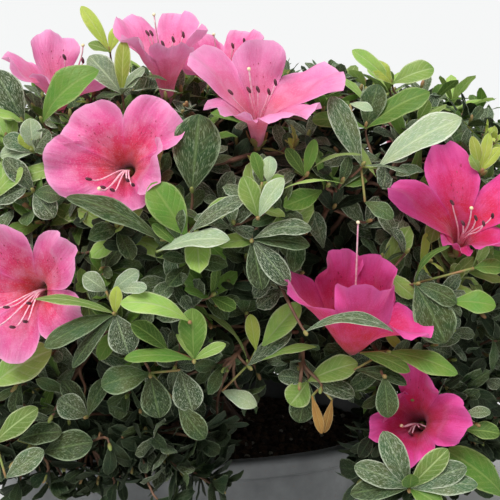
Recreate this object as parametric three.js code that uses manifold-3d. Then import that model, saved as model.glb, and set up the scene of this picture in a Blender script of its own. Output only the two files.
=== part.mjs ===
// Satsuki azalea bonsai in an oval pot: trunk, boughs and dense masses of leaves with large blooms.
// Millimetres, +Z up. The origin is the middle of the pot's flat underside, and the front faces -Y.

import * as THREE from 'three';
import Module from 'manifold-3d';

const wasm = await Module();
wasm.setup();

// Driving dimensions

const touch = 0.3; // clear gap between two parts that meet

const pot = {
  length: 206,
  depth: 158,
  height: 67,
  wall: 8,
  floor: 12,
  foot: 8, // height of the plinth that the pot stands on
  lip: 9, // height of the band round the rim
};

const drain = { apart: 80, hole: 12, groove: 14, grooveHigh: 3 };

const soil = { atTrunk: 62, atWall: 57, mound: 36 };

const trunk = {
  footRadius: 15,
  tipRadius: 5,
  flare: 11, // how far the root flare swells at the soil
  flareHigh: 15,
  roots: 5,
  rootDepth: 0.3,
  path: [[-5, 2, 52], [-7, 3, 78], [-13, 6, 106], [-4, 4, 134], [6, -6, 160], [12, -16, 180]],
};

const crown = {
  middle: [15, 0, 160],
  halfLength: 150,
  halfDepth: 123,
  rise: 74,
  riseRight: 9, // the shoulder on the right stands higher
  hang: 88, // the skirt hangs this far under the middle
  hangLess: 42, // and this much less at the two ends and over the arch at the front
  arch: [40, 34], // where the arch lies and half its width
  upperPower: 2.8,
  lowerPower: 3.6,
  lowest: 72, // no leaf reaches under this height over the pot
  lowestBeside: 60, // nor under this one beside it
};

// Each mass of foliage: the azimuth and share of the crown's half sizes where its heart lies,
// the heart's height, and the height on the trunk where its bough starts. No height means that
// the mass stands on the trunk's own tip.
const masses = [
  { name: 'front_left', azimuth: -115.7, share: 0.62, height: 156, boughFrom: 84, radius: 6.6 },
  { name: 'front_right', azimuth: -64.3, share: 0.62, height: 156, boughFrom: 97, radius: 6.2 },
  { name: 'right', azimuth: -12.9, share: 0.62, height: 158, boughFrom: 112, radius: 6.0 },
  { name: 'back_right', azimuth: 38.6, share: 0.62, height: 158, boughFrom: 92, radius: 6.2 },
  { name: 'back', azimuth: 90, share: 0.62, height: 158, boughFrom: 110, radius: 5.8 },
  { name: 'back_left', azimuth: 141.4, share: 0.62, height: 158, boughFrom: 90, radius: 6.2 },
  { name: 'left', azimuth: 192.9, share: 0.62, height: 158, boughFrom: 106, radius: 6.0 },
  { name: 'top_right', azimuth: 45, share: 0.35, height: 203, boughFrom: 138, radius: 4.6 },
  { name: 'top_left', azimuth: 165, share: 0.35, height: 203, boughFrom: 130, radius: 4.8 },
  { name: 'top_front', azimuth: -75, share: 0.35, height: 203 },
];

const bough = { tipRadius: 2.8, entry: 34 }; // a bough ends this far short of its mass's heart
const core = { share: 0.76, side: 66, inward: 36, apart: 4 };
const twig = { rootRadius: 1.7, tipRadius: 0.8 };
const leaf = { length: 28, width: 12.5, thick: 0.9, fold: 2.2 };
const bloom = { diameter: 52, tube: 15, throat: 5.5, lobes: 5, notch: 0.64 };

const shootCount = 92; // shoots spread over the whole crown
const bloomShare = 0.37; // share of them that end in a bloom
const clearOfNamed = 27; // the spread keeps this far from the named shoots below
const front = { left: -115, right: 170, back: 40 }; // only named shoots bloom here, seen from above
const shootDepth = { bloom: 0.83, leaves: 0.93, spread: 0.07 }; // share of the envelope's reach
const seed = 7;

// The shoots that stand out at the front: where each ends, the way it faces and what it carries.
// An open of 1 is a bloom spread flat, and 0 one that is closed.
const namedShoots = [
  { at: [-21, -98, 195], facing: [-0.1, -0.95, 0.25], open: 0.8 },
  { at: [-60, -48, 214], facing: [0.25, -0.25, 0.9], open: 0.5 },
  { at: [-9, -58, 222], facing: [0, -0.25, 0.95], open: 0.35 },
  { at: [16, -26, 219], facing: [-0.05, -0.35, 0.95], open: 0.5 },
  { at: [30, -97, 206], facing: [0, -0.45, 0.9], open: 0.6 },
  { at: [114, -84, 160], facing: [0.03, -0.6, 0.8], open: 0.8 },
  { at: [-54, -98, 148], facing: [-0.35, -0.9, 0.1], open: 0.75 },
  { at: [68, -106, 123], facing: [0.05, -0.35, 0.95], open: 0.3 },
  { at: [98, -92, 88], facing: [-0.25, -0.75, 0.35], open: 0.35 },
  { at: [-25, -117, 137], facing: [0.1, -0.8, 0.5], leaves: 6 },
  { at: [17, -112, 118], facing: [0.1, -0.75, 0.6], leaves: 6 },
  { at: [93, -98, 84], facing: [0, -0.6, 0.8], leaves: 6 },
  { at: [-26, -82, 214], facing: [0, -0.3, 0.95], leaves: 4 },
  { at: [8, -122, 178], facing: [0.1, -0.8, 0.6], leaves: 5 },
  { at: [32, -120, 190], facing: [0.3, -0.6, 0.7], leaves: 4 },
  { at: [63, -108, 192], facing: [0, -0.4, 0.9], leaves: 4 },
  { at: [84, -86, 202], facing: [0.4, -0.4, 0.8], leaves: 5 },
  { at: [82, -108, 116], facing: [0.3, -0.9, 0.1], leaves: 4 },
  { at: [47, -112, 112], facing: [0, -0.9, 0], leaves: 4 },
  { at: [-62, -108, 117], facing: [-0.5, -0.8, 0], leaves: 5 },
  { at: [-54, -104, 96], facing: [-0.3, -0.8, -0.2], leaves: 5 },
  { at: [-52, -76, 211], facing: [-0.2, -0.5, 0.8], leaves: 4 },
  { at: [-24, -120, 176], facing: [0, -0.9, 0.2], leaves: 5 },
  { at: [-30, -100, 82], facing: [0, -0.8, 0.1], leaves: 5 },
  { at: [-70, -94, 82], facing: [-0.3, -0.8, -0.1], leaves: 5 },
  { at: [112, -88, 90], facing: [0.4, -0.8, 0.1], leaves: 5 },
  { at: [126, -76, 84], facing: [0.5, -0.7, 0.1], leaves: 5 },
  { at: [-86, -80, 80], facing: [-0.5, -0.7, -0.2], leaves: 5 },
  { at: [-74, -92, 68], facing: [-0.3, -0.8, -0.3], leaves: 5 },
  { at: [106, -92, 72], facing: [0.3, -0.8, -0.2], leaves: 5 },
  { at: [-46, -98, 70], facing: [-0.1, -0.8, -0.3], leaves: 5 },
  { at: [-16, -98, 78], facing: [0.1, -0.8, -0.2], leaves: 5 },
  { at: [-98, -62, 76], facing: [-0.6, -0.5, -0.2], leaves: 5 },
  { at: [40, 60, 228], facing: [0.1, 0.2, 1], leaves: 5 },
];

// Small tools

const point = (list) => new THREE.Vector3(...list);
const mix = (a, b, t) => a + (b - a) * t;
const radians = (degrees) => (degrees * Math.PI) / 180;

// A number from 0 to 1 that is always the same for the same item and trait.
function chance(item, trait) {
  const wave = Math.sin(item * 127.1 + trait * 311.7 + seed * 74.7) * 43758.5453;
  return wave - Math.floor(wave);
}

// A closed geometry as a solid, with the vertices that lie together merged.
function solidOf(geometry) {
  const place = geometry.attributes.position;
  const index = geometry.index;
  const count = index ? index.count : place.count;
  const seen = new Map();
  const vertices = [];
  const numbers = [];
  for (let i = 0; i < count; i++) {
    const v = index ? index.getX(i) : i;
    const spot = [place.getX(v), place.getY(v), place.getZ(v)].map((value) => Math.round(value * 1e4) / 1e4);
    const key = spot.join(' ');
    if (!seen.has(key)) {
      seen.set(key, seen.size);
      vertices.push(...spot);
    }
    numbers.push(seen.get(key));
  }
  const triangles = [];
  for (let i = 0; i < numbers.length; i += 3) {
    const [a, b, c] = numbers.slice(i, i + 3);
    if (a !== b && b !== c && c !== a) triangles.push(a, b, c);
  }
  const mesh = new wasm.Mesh({
    numProp: 3,
    vertProperties: new Float32Array(vertices),
    triVerts: new Uint32Array(triangles),
  });
  return new wasm.Manifold(mesh);
}

// The solid again, with every edge shorter than a limit drawn together into one vertex.
function withoutShortEdges(solid, shortest) {
  const mesh = solid.getMesh();
  const { numProp, triVerts, vertProperties } = mesh;
  const spotOf = (v) => vertProperties.slice(v * numProp, v * numProp + 3);
  const joined = Array.from({ length: mesh.numVert }, (_, v) => v);
  const chief = (v) => (joined[v] === v ? v : chief(joined[v]));
  for (let i = 0; i < triVerts.length; i += 3) {
    for (const [a, b] of [[0, 1], [1, 2], [2, 0]]) {
      const [p, q] = [spotOf(triVerts[i + a]), spotOf(triVerts[i + b])];
      const long = Math.hypot(p[0] - q[0], p[1] - q[1], p[2] - q[2]);
      if (long < shortest) joined[chief(triVerts[i + a])] = chief(triVerts[i + b]);
    }
  }
  const geometry = new THREE.BufferGeometry();
  const places = [];
  for (const v of triVerts) places.push(...spotOf(chief(v)));
  geometry.setAttribute('position', new THREE.BufferAttribute(new Float32Array(places), 3));
  const drawn = solidOf(geometry);
  return drawn.status() === 'NoError' ? drawn : solid;
}

// The solid's largest body, without the loose scraps and the sealed hollows.
function wholeOf(solid) {
  const bodies = solid.decompose();
  bodies.sort((a, b) => b.volume() - a.volume());
  return bodies[0];
}

function geometryOf(solid) {
  const mesh = solid.getMesh();
  const geometry = new THREE.BufferGeometry();
  const places = new Float32Array(mesh.numVert * 3);
  for (let i = 0; i < mesh.numVert; i++) {
    for (let k = 0; k < 3; k++) places[i * 3 + k] = mesh.vertProperties[i * mesh.numProp + k];
  }
  geometry.setAttribute('position', new THREE.BufferAttribute(places, 3));
  geometry.setIndex(Array.from(mesh.triVerts));
  geometry.computeVertexNormals();
  return geometry;
}

// Moves every vertex of a geometry to where a function of its old place puts it.
function reshape(geometry, move) {
  const place = geometry.attributes.position;
  const spot = new THREE.Vector3();
  for (let i = 0; i < place.count; i++) {
    spot.fromBufferAttribute(place, i);
    const moved = move(spot);
    place.setXYZ(i, moved.x, moved.y, moved.z);
  }
  return geometry;
}

function cornersOf(geometry) {
  const place = geometry.attributes.position;
  const corners = [];
  for (let i = 0; i < place.count; i++) corners.push(new THREE.Vector3().fromBufferAttribute(place, i));
  return corners;
}

// The crown's envelope

const crownMiddle = point(crown.middle);

// Below 1 inside the envelope and above 1 outside it.
function fullness(spot) {
  const across = (spot.x - crownMiddle.x) / crown.halfLength;
  const deep = (spot.y - crownMiddle.y) / crown.halfDepth;
  const up = spot.z - crownMiddle.z;
  const out = Math.hypot(across, deep);
  const end = (across / Math.max(out, 1e-6)) ** 4;
  const ahead = Math.max(-deep / Math.max(out, 1e-6), 0) ** 0.5;
  const arch = ahead * Math.exp(-(((spot.x - crown.arch[0]) / crown.arch[1]) ** 2));
  const high = up > 0 ? crown.rise + crown.riseRight * Math.max(across, 0) : crown.hang - crown.hangLess * Math.max(end, arch);
  const power = up > 0 ? crown.upperPower : crown.lowerPower;
  return out ** power + Math.abs(up / high) ** power;
}

// How far the envelope lies from a spot inside it, along a direction.
function reach(from, direction) {
  let near = 0;
  let far = 400;
  for (let step = 0; step < 26; step++) {
    const half = (near + far) / 2;
    if (fullness(from.clone().addScaledVector(direction, half)) < 1) near = half;
    else far = half;
  }
  return near;
}

// The way out of the crown at a spot, square to the envelope.
function outward(spot) {
  const step = 0.5;
  const slope = ['x', 'y', 'z'].map((axis) => {
    const more = spot.clone();
    const less = spot.clone();
    more[axis] += step;
    less[axis] -= step;
    return fullness(more) - fullness(less);
  });
  return point(slope).normalize();
}

for (const mass of masses) {
  const turn = radians(mass.azimuth);
  mass.heart = new THREE.Vector3(
    crownMiddle.x + crown.halfLength * mass.share * Math.cos(turn),
    crownMiddle.y + crown.halfDepth * mass.share * Math.sin(turn),
    mass.height,
  );
}

// Each mass keeps to the space that is nearest to its own heart, bounded by these planes.
for (const mass of masses) {
  mass.borders = masses
    .filter((other) => other !== mass)
    .map((other) => ({
      middle: mass.heart.clone().add(other.heart).multiplyScalar(0.5),
      normal: other.heart.clone().sub(mass.heart).normalize(),
    }));
}

function beyond(border, spot) {
  return spot.clone().sub(border.middle).dot(border.normal);
}

function keepsToSpace(mass, corners, clear) {
  return mass.borders.every((border) => corners.every((corner) => beyond(border, corner) < -clear));
}

function massAt(spot) {
  return masses.reduce((a, b) => (a.heart.distanceTo(spot) < b.heart.distanceTo(spot) ? a : b));
}

// The limbs

// A tapering limb along a path: a ring of sides swept with a radius that depends on how far along
// and round it is. A swell makes it fatter and longer, to cut what must stay clear of it.
function limb(path, radiusAt, steady, sides, rows, swell = 0) {
  const shape = new THREE.CylinderGeometry(1, 1, 1, sides, rows);
  reshape(shape, (spot) => {
    const t = Math.min(Math.max(spot.y + 0.5, 0), 1);
    const along = path.getTangentAt(t);
    const side = steady.clone().addScaledVector(along, -steady.dot(along)).normalize();
    const over = new THREE.Vector3().crossVectors(along, side);
    const radius = radiusAt(t, Math.atan2(spot.z, spot.x)) + swell;
    const ending = t === 0 ? -swell : t === 1 ? swell : 0;
    return path
      .getPointAt(t)
      .addScaledVector(along, ending)
      .addScaledVector(side, spot.x * radius)
      .addScaledVector(over, spot.z * radius);
  });
  const solid = solidOf(shape);
  if (solid.volume() > 0) return solid;
  shape.index.array.reverse();
  return solidOf(shape);
}

const trunkPath = new THREE.CatmullRomCurve3(trunk.path.map(point));
const trunkFoot = trunkPath.getPointAt(0).z;
const trunkTop = trunkPath.getPointAt(1).z;

function trunkRadius(t, angle) {
  const height = mix(trunkFoot, trunkTop, t) - soil.atTrunk;
  const flare = Math.exp(-Math.max(height, 0) / trunk.flareHigh);
  const root = 1 + trunk.rootDepth * flare * Math.cos(trunk.roots * angle + 0.6);
  return (mix(trunk.footRadius, trunk.tipRadius, t) + trunk.flare * flare) * root;
}

// The place along the trunk at a height.
function trunkAt(height) {
  let low = 0;
  let high = 1;
  for (let step = 0; step < 20; step++) {
    const half = (low + high) / 2;
    if (trunkPath.getPointAt(half).z < height) low = half;
    else high = half;
  }
  return trunkPath.getPointAt(low);
}

const trunkSteady = new THREE.Vector3(1, 0, 0);
const trunkSolid = limb(trunkPath, trunkRadius, trunkSteady, 15, 13).trimByPlane([0, 0, 1], soil.atTrunk + touch);
const trunkRoom = limb(trunkPath, trunkRadius, trunkSteady, 15, 13, touch);
const limbRooms = [trunkRoom];

// A bough leaves the trunk level, then rises into its mass. The trunk's tip stands in for it where
// a mass has none.
for (const mass of masses) {
  if (!mass.boughFrom) {
    mass.entry = trunkPath.getPointAt(1);
    mass.entryRadius = trunk.tipRadius;
    continue;
  }
  const start = trunkAt(mass.boughFrom);
  const away = mass.heart.clone().sub(start);
  const level = new THREE.Vector3(away.x, away.y, 0).normalize();
  const entering = new THREE.Vector3(level.x, level.y, 1.1).normalize();
  const end = mass.heart.clone().addScaledVector(entering, -bough.entry);
  const span = start.distanceTo(end);
  mass.path = new THREE.CubicBezierCurve3(
    start,
    start.clone().addScaledVector(level, span * 0.45).add(new THREE.Vector3(0, 0, span * 0.06)),
    end.clone().addScaledVector(entering, -span * 0.3),
    end,
  );
  const steady = new THREE.Vector3(-level.y, level.x, 0);
  const radiusAt = (t) => mix(mass.radius, bough.tipRadius, t ** 0.8);
  const room = limb(mass.path, radiusAt, steady, 8, 7, touch);
  mass.bough = wholeOf(wasm.Manifold.difference([limb(mass.path, radiusAt, steady, 8, 7), ...limbRooms]));
  mass.entry = end;
  mass.entryRadius = bough.tipRadius;
  limbRooms.push(room);
}

// Spots along every limb, to keep leaves off them.
const limbSpots = [];
for (const path of [trunkPath, ...masses.filter((mass) => mass.path).map((mass) => mass.path)]) {
  const thick = path === trunkPath ? trunk.footRadius : masses.find((mass) => mass.path === path).radius;
  const thin = path === trunkPath ? trunk.tipRadius : bough.tipRadius;
  for (let i = 0; i <= 24; i++) {
    limbSpots.push({ spot: path.getPointAt(i / 24), radius: mix(thick, thin, i / 24) });
  }
}

function clearOfLimbs(corners) {
  return limbSpots.every(({ spot, radius }) => corners.every((corner) => corner.distanceTo(spot) > radius + 2));
}

// Leaves, twigs and blooms

// Carries a shape made round +Z at the origin to a spot, facing a direction and turned about it.
function carry(geometry, spot, facing, turn) {
  const aim = new THREE.Quaternion().setFromUnitVectors(new THREE.Vector3(0, 0, 1), facing);
  const spin = new THREE.Quaternion().setFromAxisAngle(new THREE.Vector3(0, 0, 1), turn);
  geometry.applyQuaternion(aim.multiply(spin));
  geometry.translate(spot.x, spot.y, spot.z);
  return geometry;
}

// A leaf of eight faces lying along +X: a root and a tip, two sides, and a folded middle.
function leafShape(length, width) {
  return reshape(new THREE.OctahedronGeometry(1, 0), (spot) => {
    const long = spot.x > 0.5 ? length : spot.x < -0.5 ? 0 : length * 0.54;
    const side = Math.abs(spot.y) > 0.5 ? Math.sign(spot.y) * width * 0.5 : 0;
    const lift = Math.abs(spot.y) > 0.5 ? leaf.fold : 0;
    const thick = Math.abs(spot.z) > 0.5 ? Math.sign(spot.z) * leaf.thick * 0.5 : 0;
    return new THREE.Vector3(long, side, lift + thick);
  });
}

function twigShape(from, to, rootRadius, tipRadius) {
  const along = to.clone().sub(from);
  const shape = new THREE.CylinderGeometry(tipRadius, rootRadius, along.length(), 3, 1);
  const aim = new THREE.Quaternion().setFromUnitVectors(new THREE.Vector3(0, 1, 0), along.clone().normalize());
  shape.applyQuaternion(aim);
  shape.translate((from.x + to.x) / 2, (from.y + to.y) / 2, (from.z + to.z) / 2);
  return shape;
}

// A bloom round +Z: a tube that opens into a funnel whose rim is cut into five lobes.
function bloomShape(diameter, open) {
  const petal = diameter * 0.52;
  const lean = radians(mix(18, 74, open));
  const rim = bloom.throat + petal * Math.sin(lean);
  const rimHeight = bloom.tube + petal * Math.cos(lean);
  const profile = [
    [0, 0],
    [2.2, 0.6],
    [bloom.throat, bloom.tube],
    [rim, rimHeight],
    [0, bloom.tube + 2.5],
  ];
  const shape = new THREE.LatheGeometry(profile.map(([x, y]) => new THREE.Vector2(x, y)), bloom.lobes * 3);
  shape.rotateX(Math.PI / 2);
  return reshape(shape, (spot) => {
    const out = Math.hypot(spot.x, spot.y);
    if (out < rim - 0.01) return spot;
    const part = Math.round((Math.atan2(spot.y, spot.x) / (2 * Math.PI)) * bloom.lobes * 3);
    const cut = part % 3 === 0 ? bloom.notch : 1;
    return new THREE.Vector3(spot.x * cut, spot.y * cut, mix(bloom.tube + 2, spot.z, cut ** 1.5));
  });
}

// The shoots: the named ones, and a golden-angle spiral of others over the whole envelope

const shoots = namedShoots.map((row, number) => ({
  number,
  spot: point(row.at),
  facing: point(row.facing).normalize(),
  open: row.open,
  leaves: row.leaves,
}));

const golden = Math.PI * (3 - Math.sqrt(5));
for (let i = 0; i < shootCount; i++) {
  const number = 100 + i;
  const up = mix(1, -0.68, ((i + 0.5) / shootCount) ** 1.08);
  const level = Math.sqrt(1 - up * up);
  const turn = i * golden;
  const way = new THREE.Vector3(
    crown.halfLength * level * Math.cos(turn),
    crown.halfDepth * level * Math.sin(turn),
    (up > 0 ? crown.rise : crown.hang - 0.5 * crown.hangLess) * up,
  ).normalize();
  const distance = reach(crownMiddle, way);
  const face = crownMiddle.clone().addScaledVector(way, distance);
  const atFront = face.x > front.left && face.x < front.right && face.y < front.back;
  const blooms = !atFront && up > -0.45 && chance(number, 5) < bloomShare;
  const depth = (blooms ? shootDepth.bloom : shootDepth.leaves) + shootDepth.spread * chance(number, 1);
  const spot = crownMiddle.clone().addScaledVector(way, distance * depth);
  if (shoots.some((shoot) => shoot.number < 100 && shoot.spot.distanceTo(spot) < clearOfNamed)) continue;
  const facing = outward(spot);
  facing.x += mix(-0.35, 0.35, chance(number, 2));
  facing.y += mix(-0.35, 0.35, chance(number, 3));
  facing.z += mix(0.1, 0.6, chance(number, 4));
  shoots.push({
    number,
    spot,
    facing: facing.normalize(),
    open: blooms ? mix(0.45, 0.85, chance(number, 6)) : undefined,
    leaves: up < -0.3 ? 4 : 5,
  });
}

// The masses

// The dark body of a mass: as much of its space as lies well inside the envelope.
function coreShape(mass) {
  const outside = outward(mass.heart);
  return reshape(new THREE.IcosahedronGeometry(1, 2), (spot) => {
    const way = spot.clone().normalize();
    const inner = Math.max(0, -way.dot(outside));
    let out = Math.min(reach(mass.heart, way) * core.share, mix(core.side, core.inward, inner));
    for (const border of mass.borders) {
      const toward = way.dot(border.normal);
      if (toward > 0.05) out = Math.min(out, (-beyond(border, mass.heart) - core.apart) / toward);
    }
    return mass.heart.clone().addScaledVector(way, out);
  });
}

// Whether every corner lies above the lowest height for leaves, over the pot or beside it.
function aboveLowest(corners) {
  return corners.every((corner) => {
    const overPot = Math.hypot(corner.x / pot.length, corner.y / pot.depth) < 0.54;
    return corner.z > (overPot ? crown.lowest : crown.lowestBeside);
  });
}

function leavesRound(mass, shoot, count, spread, length) {
  const made = [];
  for (let i = 0; i < count; i++) {
    const item = shoot.number * 16 + i;
    const turn = i * golden + chance(shoot.number, 9) * 6;
    const rise = spread + mix(-0.25, 0.25, chance(item, 10));
    for (const size of [1, 0.8, 0.6]) {
      const long = length * size * mix(0.85, 1.1, chance(item, 11));
      const shape = leafShape(long, leaf.width * (long / leaf.length));
      shape.rotateY(-rise);
      shape.translate(0, 0, -1.6 - i * 1.1);
      shape.rotateZ(turn);
      carry(shape, shoot.spot, shoot.facing, 0);
      const corners = cornersOf(shape);
      if (aboveLowest(corners) && keepsToSpace(mass, corners, touch) && clearOfLimbs(corners)) {
        made.push(shape);
        break;
      }
    }
  }
  return made;
}

function bloomOn(mass, shoot) {
  const size = bloom.diameter * mix(0.92, 1.06, chance(shoot.number, 12));
  const shape = bloomShape(size, shoot.open);
  carry(shape, shoot.spot, shoot.facing, chance(shoot.number, 13) * 6);
  for (let pass = 0; pass < 6; pass++) {
    for (const border of mass.borders) {
      const over = Math.max(...cornersOf(shape).map((corner) => beyond(border, corner))) + touch;
      if (over > 0) {
        shape.translate(...border.normal.clone().multiplyScalar(-over - 0.1).toArray());
        shoot.spot.addScaledVector(border.normal, -over - 0.1);
      }
    }
  }
  const corners = cornersOf(shape);
  return keepsToSpace(mass, corners, touch * 0.5) && clearOfLimbs(corners) ? shape : null;
}

function foliage(mass) {
  const own = shoots.filter((shoot) => massAt(shoot.spot) === mass);
  const stemTop = mass.heart;
  const shapes = [coreShape(mass)];
  const stem = twigShape(mass.entry, stemTop, mass.entryRadius, twig.rootRadius);
  const pieces = [stem];
  for (const shoot of own) {
    for (let pass = 0; pass < 3; pass++) {
      for (const border of mass.borders) {
        const over = beyond(border, shoot.spot) + 3;
        if (over > 0) shoot.spot.addScaledVector(border.normal, -over);
      }
    }
    if (shoot.open !== undefined) {
      const flower = bloomOn(mass, shoot);
      if (flower) shapes.push(flower);
      shapes.push(...leavesRound(mass, shoot, 3, mix(0.15, -0.1, shoot.open), leaf.length));
    } else {
      shapes.push(...leavesRound(mass, shoot, shoot.leaves, 0.45, leaf.length));
    }
    const knot = stemTop.clone().lerp(shoot.spot, 0.42);
    const end = shoot.spot.clone().addScaledVector(shoot.facing, 0.8);
    shapes.push(twigShape(knot, end, twig.rootRadius, twig.tipRadius));
    shapes.push(twigShape(stemTop, knot, twig.rootRadius * 1.2, twig.rootRadius));
  }
  const all = wasm.Manifold.union([...pieces, ...shapes].map(solidOf));
  const cut = wasm.Manifold.difference([all, ...limbRooms]);
  return wholeOf(withoutShortEdges(wholeOf(cut).simplify(0.03), 0.02));
}

// The pot and its soil

// A ring profile turned about the axis and pressed into an oval.
function oval(profile, sides) {
  const shape = new THREE.LatheGeometry(profile.map(([x, y]) => new THREE.Vector2(x, y)), sides);
  shape.rotateX(Math.PI / 2);
  shape.scale(1, pot.depth / pot.length, 1);
  return solidOf(shape);
}

function potSolid() {
  const out = pot.length / 2;
  const inner = out - pot.wall;
  let body = oval([
    [0, 0],
    [out - 19, 0],
    [out - 17, pot.foot - 1],
    [out - 13, pot.foot + 1],
    [out - 7, 24],
    [out - 3.5, pot.height - pot.lip - 3],
    [out - 3, pot.height - pot.lip],
    [out, pot.height - pot.lip + 1.2],
    [out, pot.height - 1.5],
    [out - 1.5, pot.height],
    [inner + 0.8, pot.height],
    [inner, pot.height - 1],
    [inner - 4, pot.height - pot.lip - 4],
    [inner - 10, pot.floor + 6],
    [inner - 16, pot.floor],
    [0, pot.floor],
  ], 32);
  for (const side of [-0.5, 0.5]) {
    const hole = new THREE.CylinderGeometry(drain.hole / 2, drain.hole / 2, pot.floor * 3, 16);
    hole.rotateX(Math.PI / 2);
    hole.translate(side * drain.apart, 0, 0);
    const groove = new THREE.BoxGeometry(drain.groove, pot.depth * 1.2, drain.grooveHigh * 2);
    groove.translate(side * drain.apart, 0, 0);
    body = wasm.Manifold.difference([body, solidOf(hole), solidOf(groove)]);
  }
  return body;
}

function soilSolid() {
  const inner = pot.length / 2 - pot.wall - touch - 0.4;
  return oval([
    [0, pot.floor + touch],
    [inner - 16.4, pot.floor + touch],
    [inner - 10.3, pot.floor + 6.2],
    [inner - 4.4, pot.height - pot.lip - 4],
    [inner - 3.6, soil.atWall],
    [mix(soil.mound, inner, 0.5), mix(soil.atTrunk, soil.atWall, 0.35)],
    [soil.mound, soil.atTrunk],
    [0, soil.atTrunk],
  ], 32);
}

// The finished tree

const looks = {
  glaze: { color: 0x9a9ea0, roughness: 0.35, metalness: 0 },
  earth: { color: 0x4a3426, roughness: 0.95, metalness: 0 },
  bark: { color: 0x6e4f40, roughness: 0.85, metalness: 0 },
  leaves: { color: 0x4c6a3a, roughness: 0.6, metalness: 0 },
};

const tree = new THREE.Group();

function add(name, solid, look) {
  const mesh = new THREE.Mesh(geometryOf(solid), new THREE.MeshStandardMaterial(looks[look]));
  mesh.name = name;
  tree.add(mesh);
}

add('pot', potSolid(), 'glaze');
add('soil', soilSolid(), 'earth');
add('trunk', trunkSolid, 'bark');
for (const mass of masses) {
  if (mass.bough) add(`bough_${mass.name}`, mass.bough, 'bark');
}
for (const mass of masses) add(`foliage_${mass.name}`, foliage(mass), 'leaves');

export default tree;
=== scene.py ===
import math
import bmesh
import bpy
import numpy as np
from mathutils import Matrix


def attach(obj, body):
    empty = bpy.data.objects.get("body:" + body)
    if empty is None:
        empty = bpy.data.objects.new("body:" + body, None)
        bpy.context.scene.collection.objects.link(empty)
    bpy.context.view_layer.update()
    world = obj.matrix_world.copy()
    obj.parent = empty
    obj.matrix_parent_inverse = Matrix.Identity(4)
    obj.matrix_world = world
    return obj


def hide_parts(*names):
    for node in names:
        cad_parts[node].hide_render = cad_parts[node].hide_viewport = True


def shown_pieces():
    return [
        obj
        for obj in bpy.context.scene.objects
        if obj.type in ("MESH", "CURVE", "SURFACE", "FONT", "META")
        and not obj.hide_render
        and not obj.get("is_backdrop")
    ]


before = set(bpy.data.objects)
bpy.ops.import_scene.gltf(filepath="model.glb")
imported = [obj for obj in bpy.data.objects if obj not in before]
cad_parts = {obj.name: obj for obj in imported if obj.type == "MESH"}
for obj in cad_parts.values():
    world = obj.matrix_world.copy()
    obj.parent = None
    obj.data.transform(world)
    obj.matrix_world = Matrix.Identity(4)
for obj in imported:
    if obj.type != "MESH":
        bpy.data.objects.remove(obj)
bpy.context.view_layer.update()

seed = 7
golden = math.pi * (3 - math.sqrt(5))
wholeTurn = 6.28  # in radians, close enough for an angle by chance
print("frame loaded")


# Small tools

def mixed(a, b, t):
    return a + (b - a) * t


def unit(v):
    return v / np.maximum(np.linalg.norm(v, axis=-1, keepdims=True), 1e-9)


def dot(a, b):
    return np.sum(a * b, axis=-1, keepdims=True)


def smooth(low, high, x):
    # 0 under low, 1 over high, and 3t^2 - 2t^3 between
    t = np.clip((x - low) / (high - low), 0, 1)
    return t * t * (3 - 2 * t)


def chance(item, trait):
    # the source's own number from 0 to 1 for an item and a trait
    wave = np.sin(np.asarray(item) * 127.1 + trait * 311.7 + seed * 74.7) * 43758.5453
    return wave - np.floor(wave)


def drawn(low, high, item, trait):
    return mixed(low, high, chance(item, trait))


def gridQuads(count, rows, cols, wrap=False, flip=False):
    # the faces of so many grids of points, each of rows by cols, closed round if wrap is set
    r = np.arange(rows - 1)[:, None]
    c = np.arange(cols if wrap else cols - 1)[None, :]
    a = r * cols + c
    b = r * cols + (c + 1) % cols
    order = [a, a + cols, b + cols, b] if flip else [a, b, b + cols, a + cols]
    one = np.stack(order, -1).reshape(-1, 4)
    return (np.arange(count)[:, None, None] * rows * cols + one).reshape(-1, 4)


def buildPiece(name, points, quads, materials, uv=None, shade=None, materialOf=None, weld=True):
    # a mesh object from arrays of points in millimetres and of faces with three or four corners
    mesh = bpy.data.meshes.new(name)
    mesh.vertices.add(len(points))
    mesh.vertices.foreach_set("co", (points * 0.001).astype(np.float32).ravel())
    mesh.loops.add(quads.size)
    mesh.loops.foreach_set("vertex_index", quads.astype(np.int32).ravel())
    mesh.polygons.add(len(quads))
    mesh.polygons.foreach_set("loop_start", np.arange(0, quads.size, quads.shape[1], dtype=np.int32))
    mesh.update(calc_edges=True)
    if uv is not None:
        layer = mesh.uv_layers.new(name="UVMap")
        layer.data.foreach_set("uv", uv[quads.ravel()].astype(np.float32).ravel())
    if shade is not None:
        tone = mesh.attributes.new("shade", "FLOAT", "POINT")
        tone.data.foreach_set("value", shade.astype(np.float32))
    for material in materials:
        mesh.materials.append(material)
    if materialOf is not None:
        mesh.polygons.foreach_set("material_index", materialOf.astype(np.int32))
    if weld:
        work = bmesh.new()
        work.from_mesh(mesh)
        bmesh.ops.remove_doubles(work, verts=work.verts, dist=2e-6)
        work.to_mesh(mesh)
        work.free()
    mesh.polygons.foreach_set("use_smooth", np.ones(len(mesh.polygons), dtype=bool))
    mesh.update()
    piece = bpy.data.objects.new(name, mesh)
    bpy.context.scene.collection.objects.link(piece)
    return piece


def settle(piece, slotName, *nodes):
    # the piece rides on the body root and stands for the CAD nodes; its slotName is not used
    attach(piece, "root")
    if nodes:
        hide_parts(*nodes)
    return piece


def bezier(p0, p1, p2, p3, rows):
    # cubic Bezier curves, one for each row of the four arrays of corners
    t = np.linspace(0, 1, rows)[None, :, None]
    corners = [p[:, None, :] for p in (p0, p1, p2, p3)]
    weights = [(1 - t) ** 3, 3 * t * (1 - t) ** 2, 3 * t * t * (1 - t), t ** 3]
    return sum(w * p for w, p in zip(weights, corners))


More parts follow.
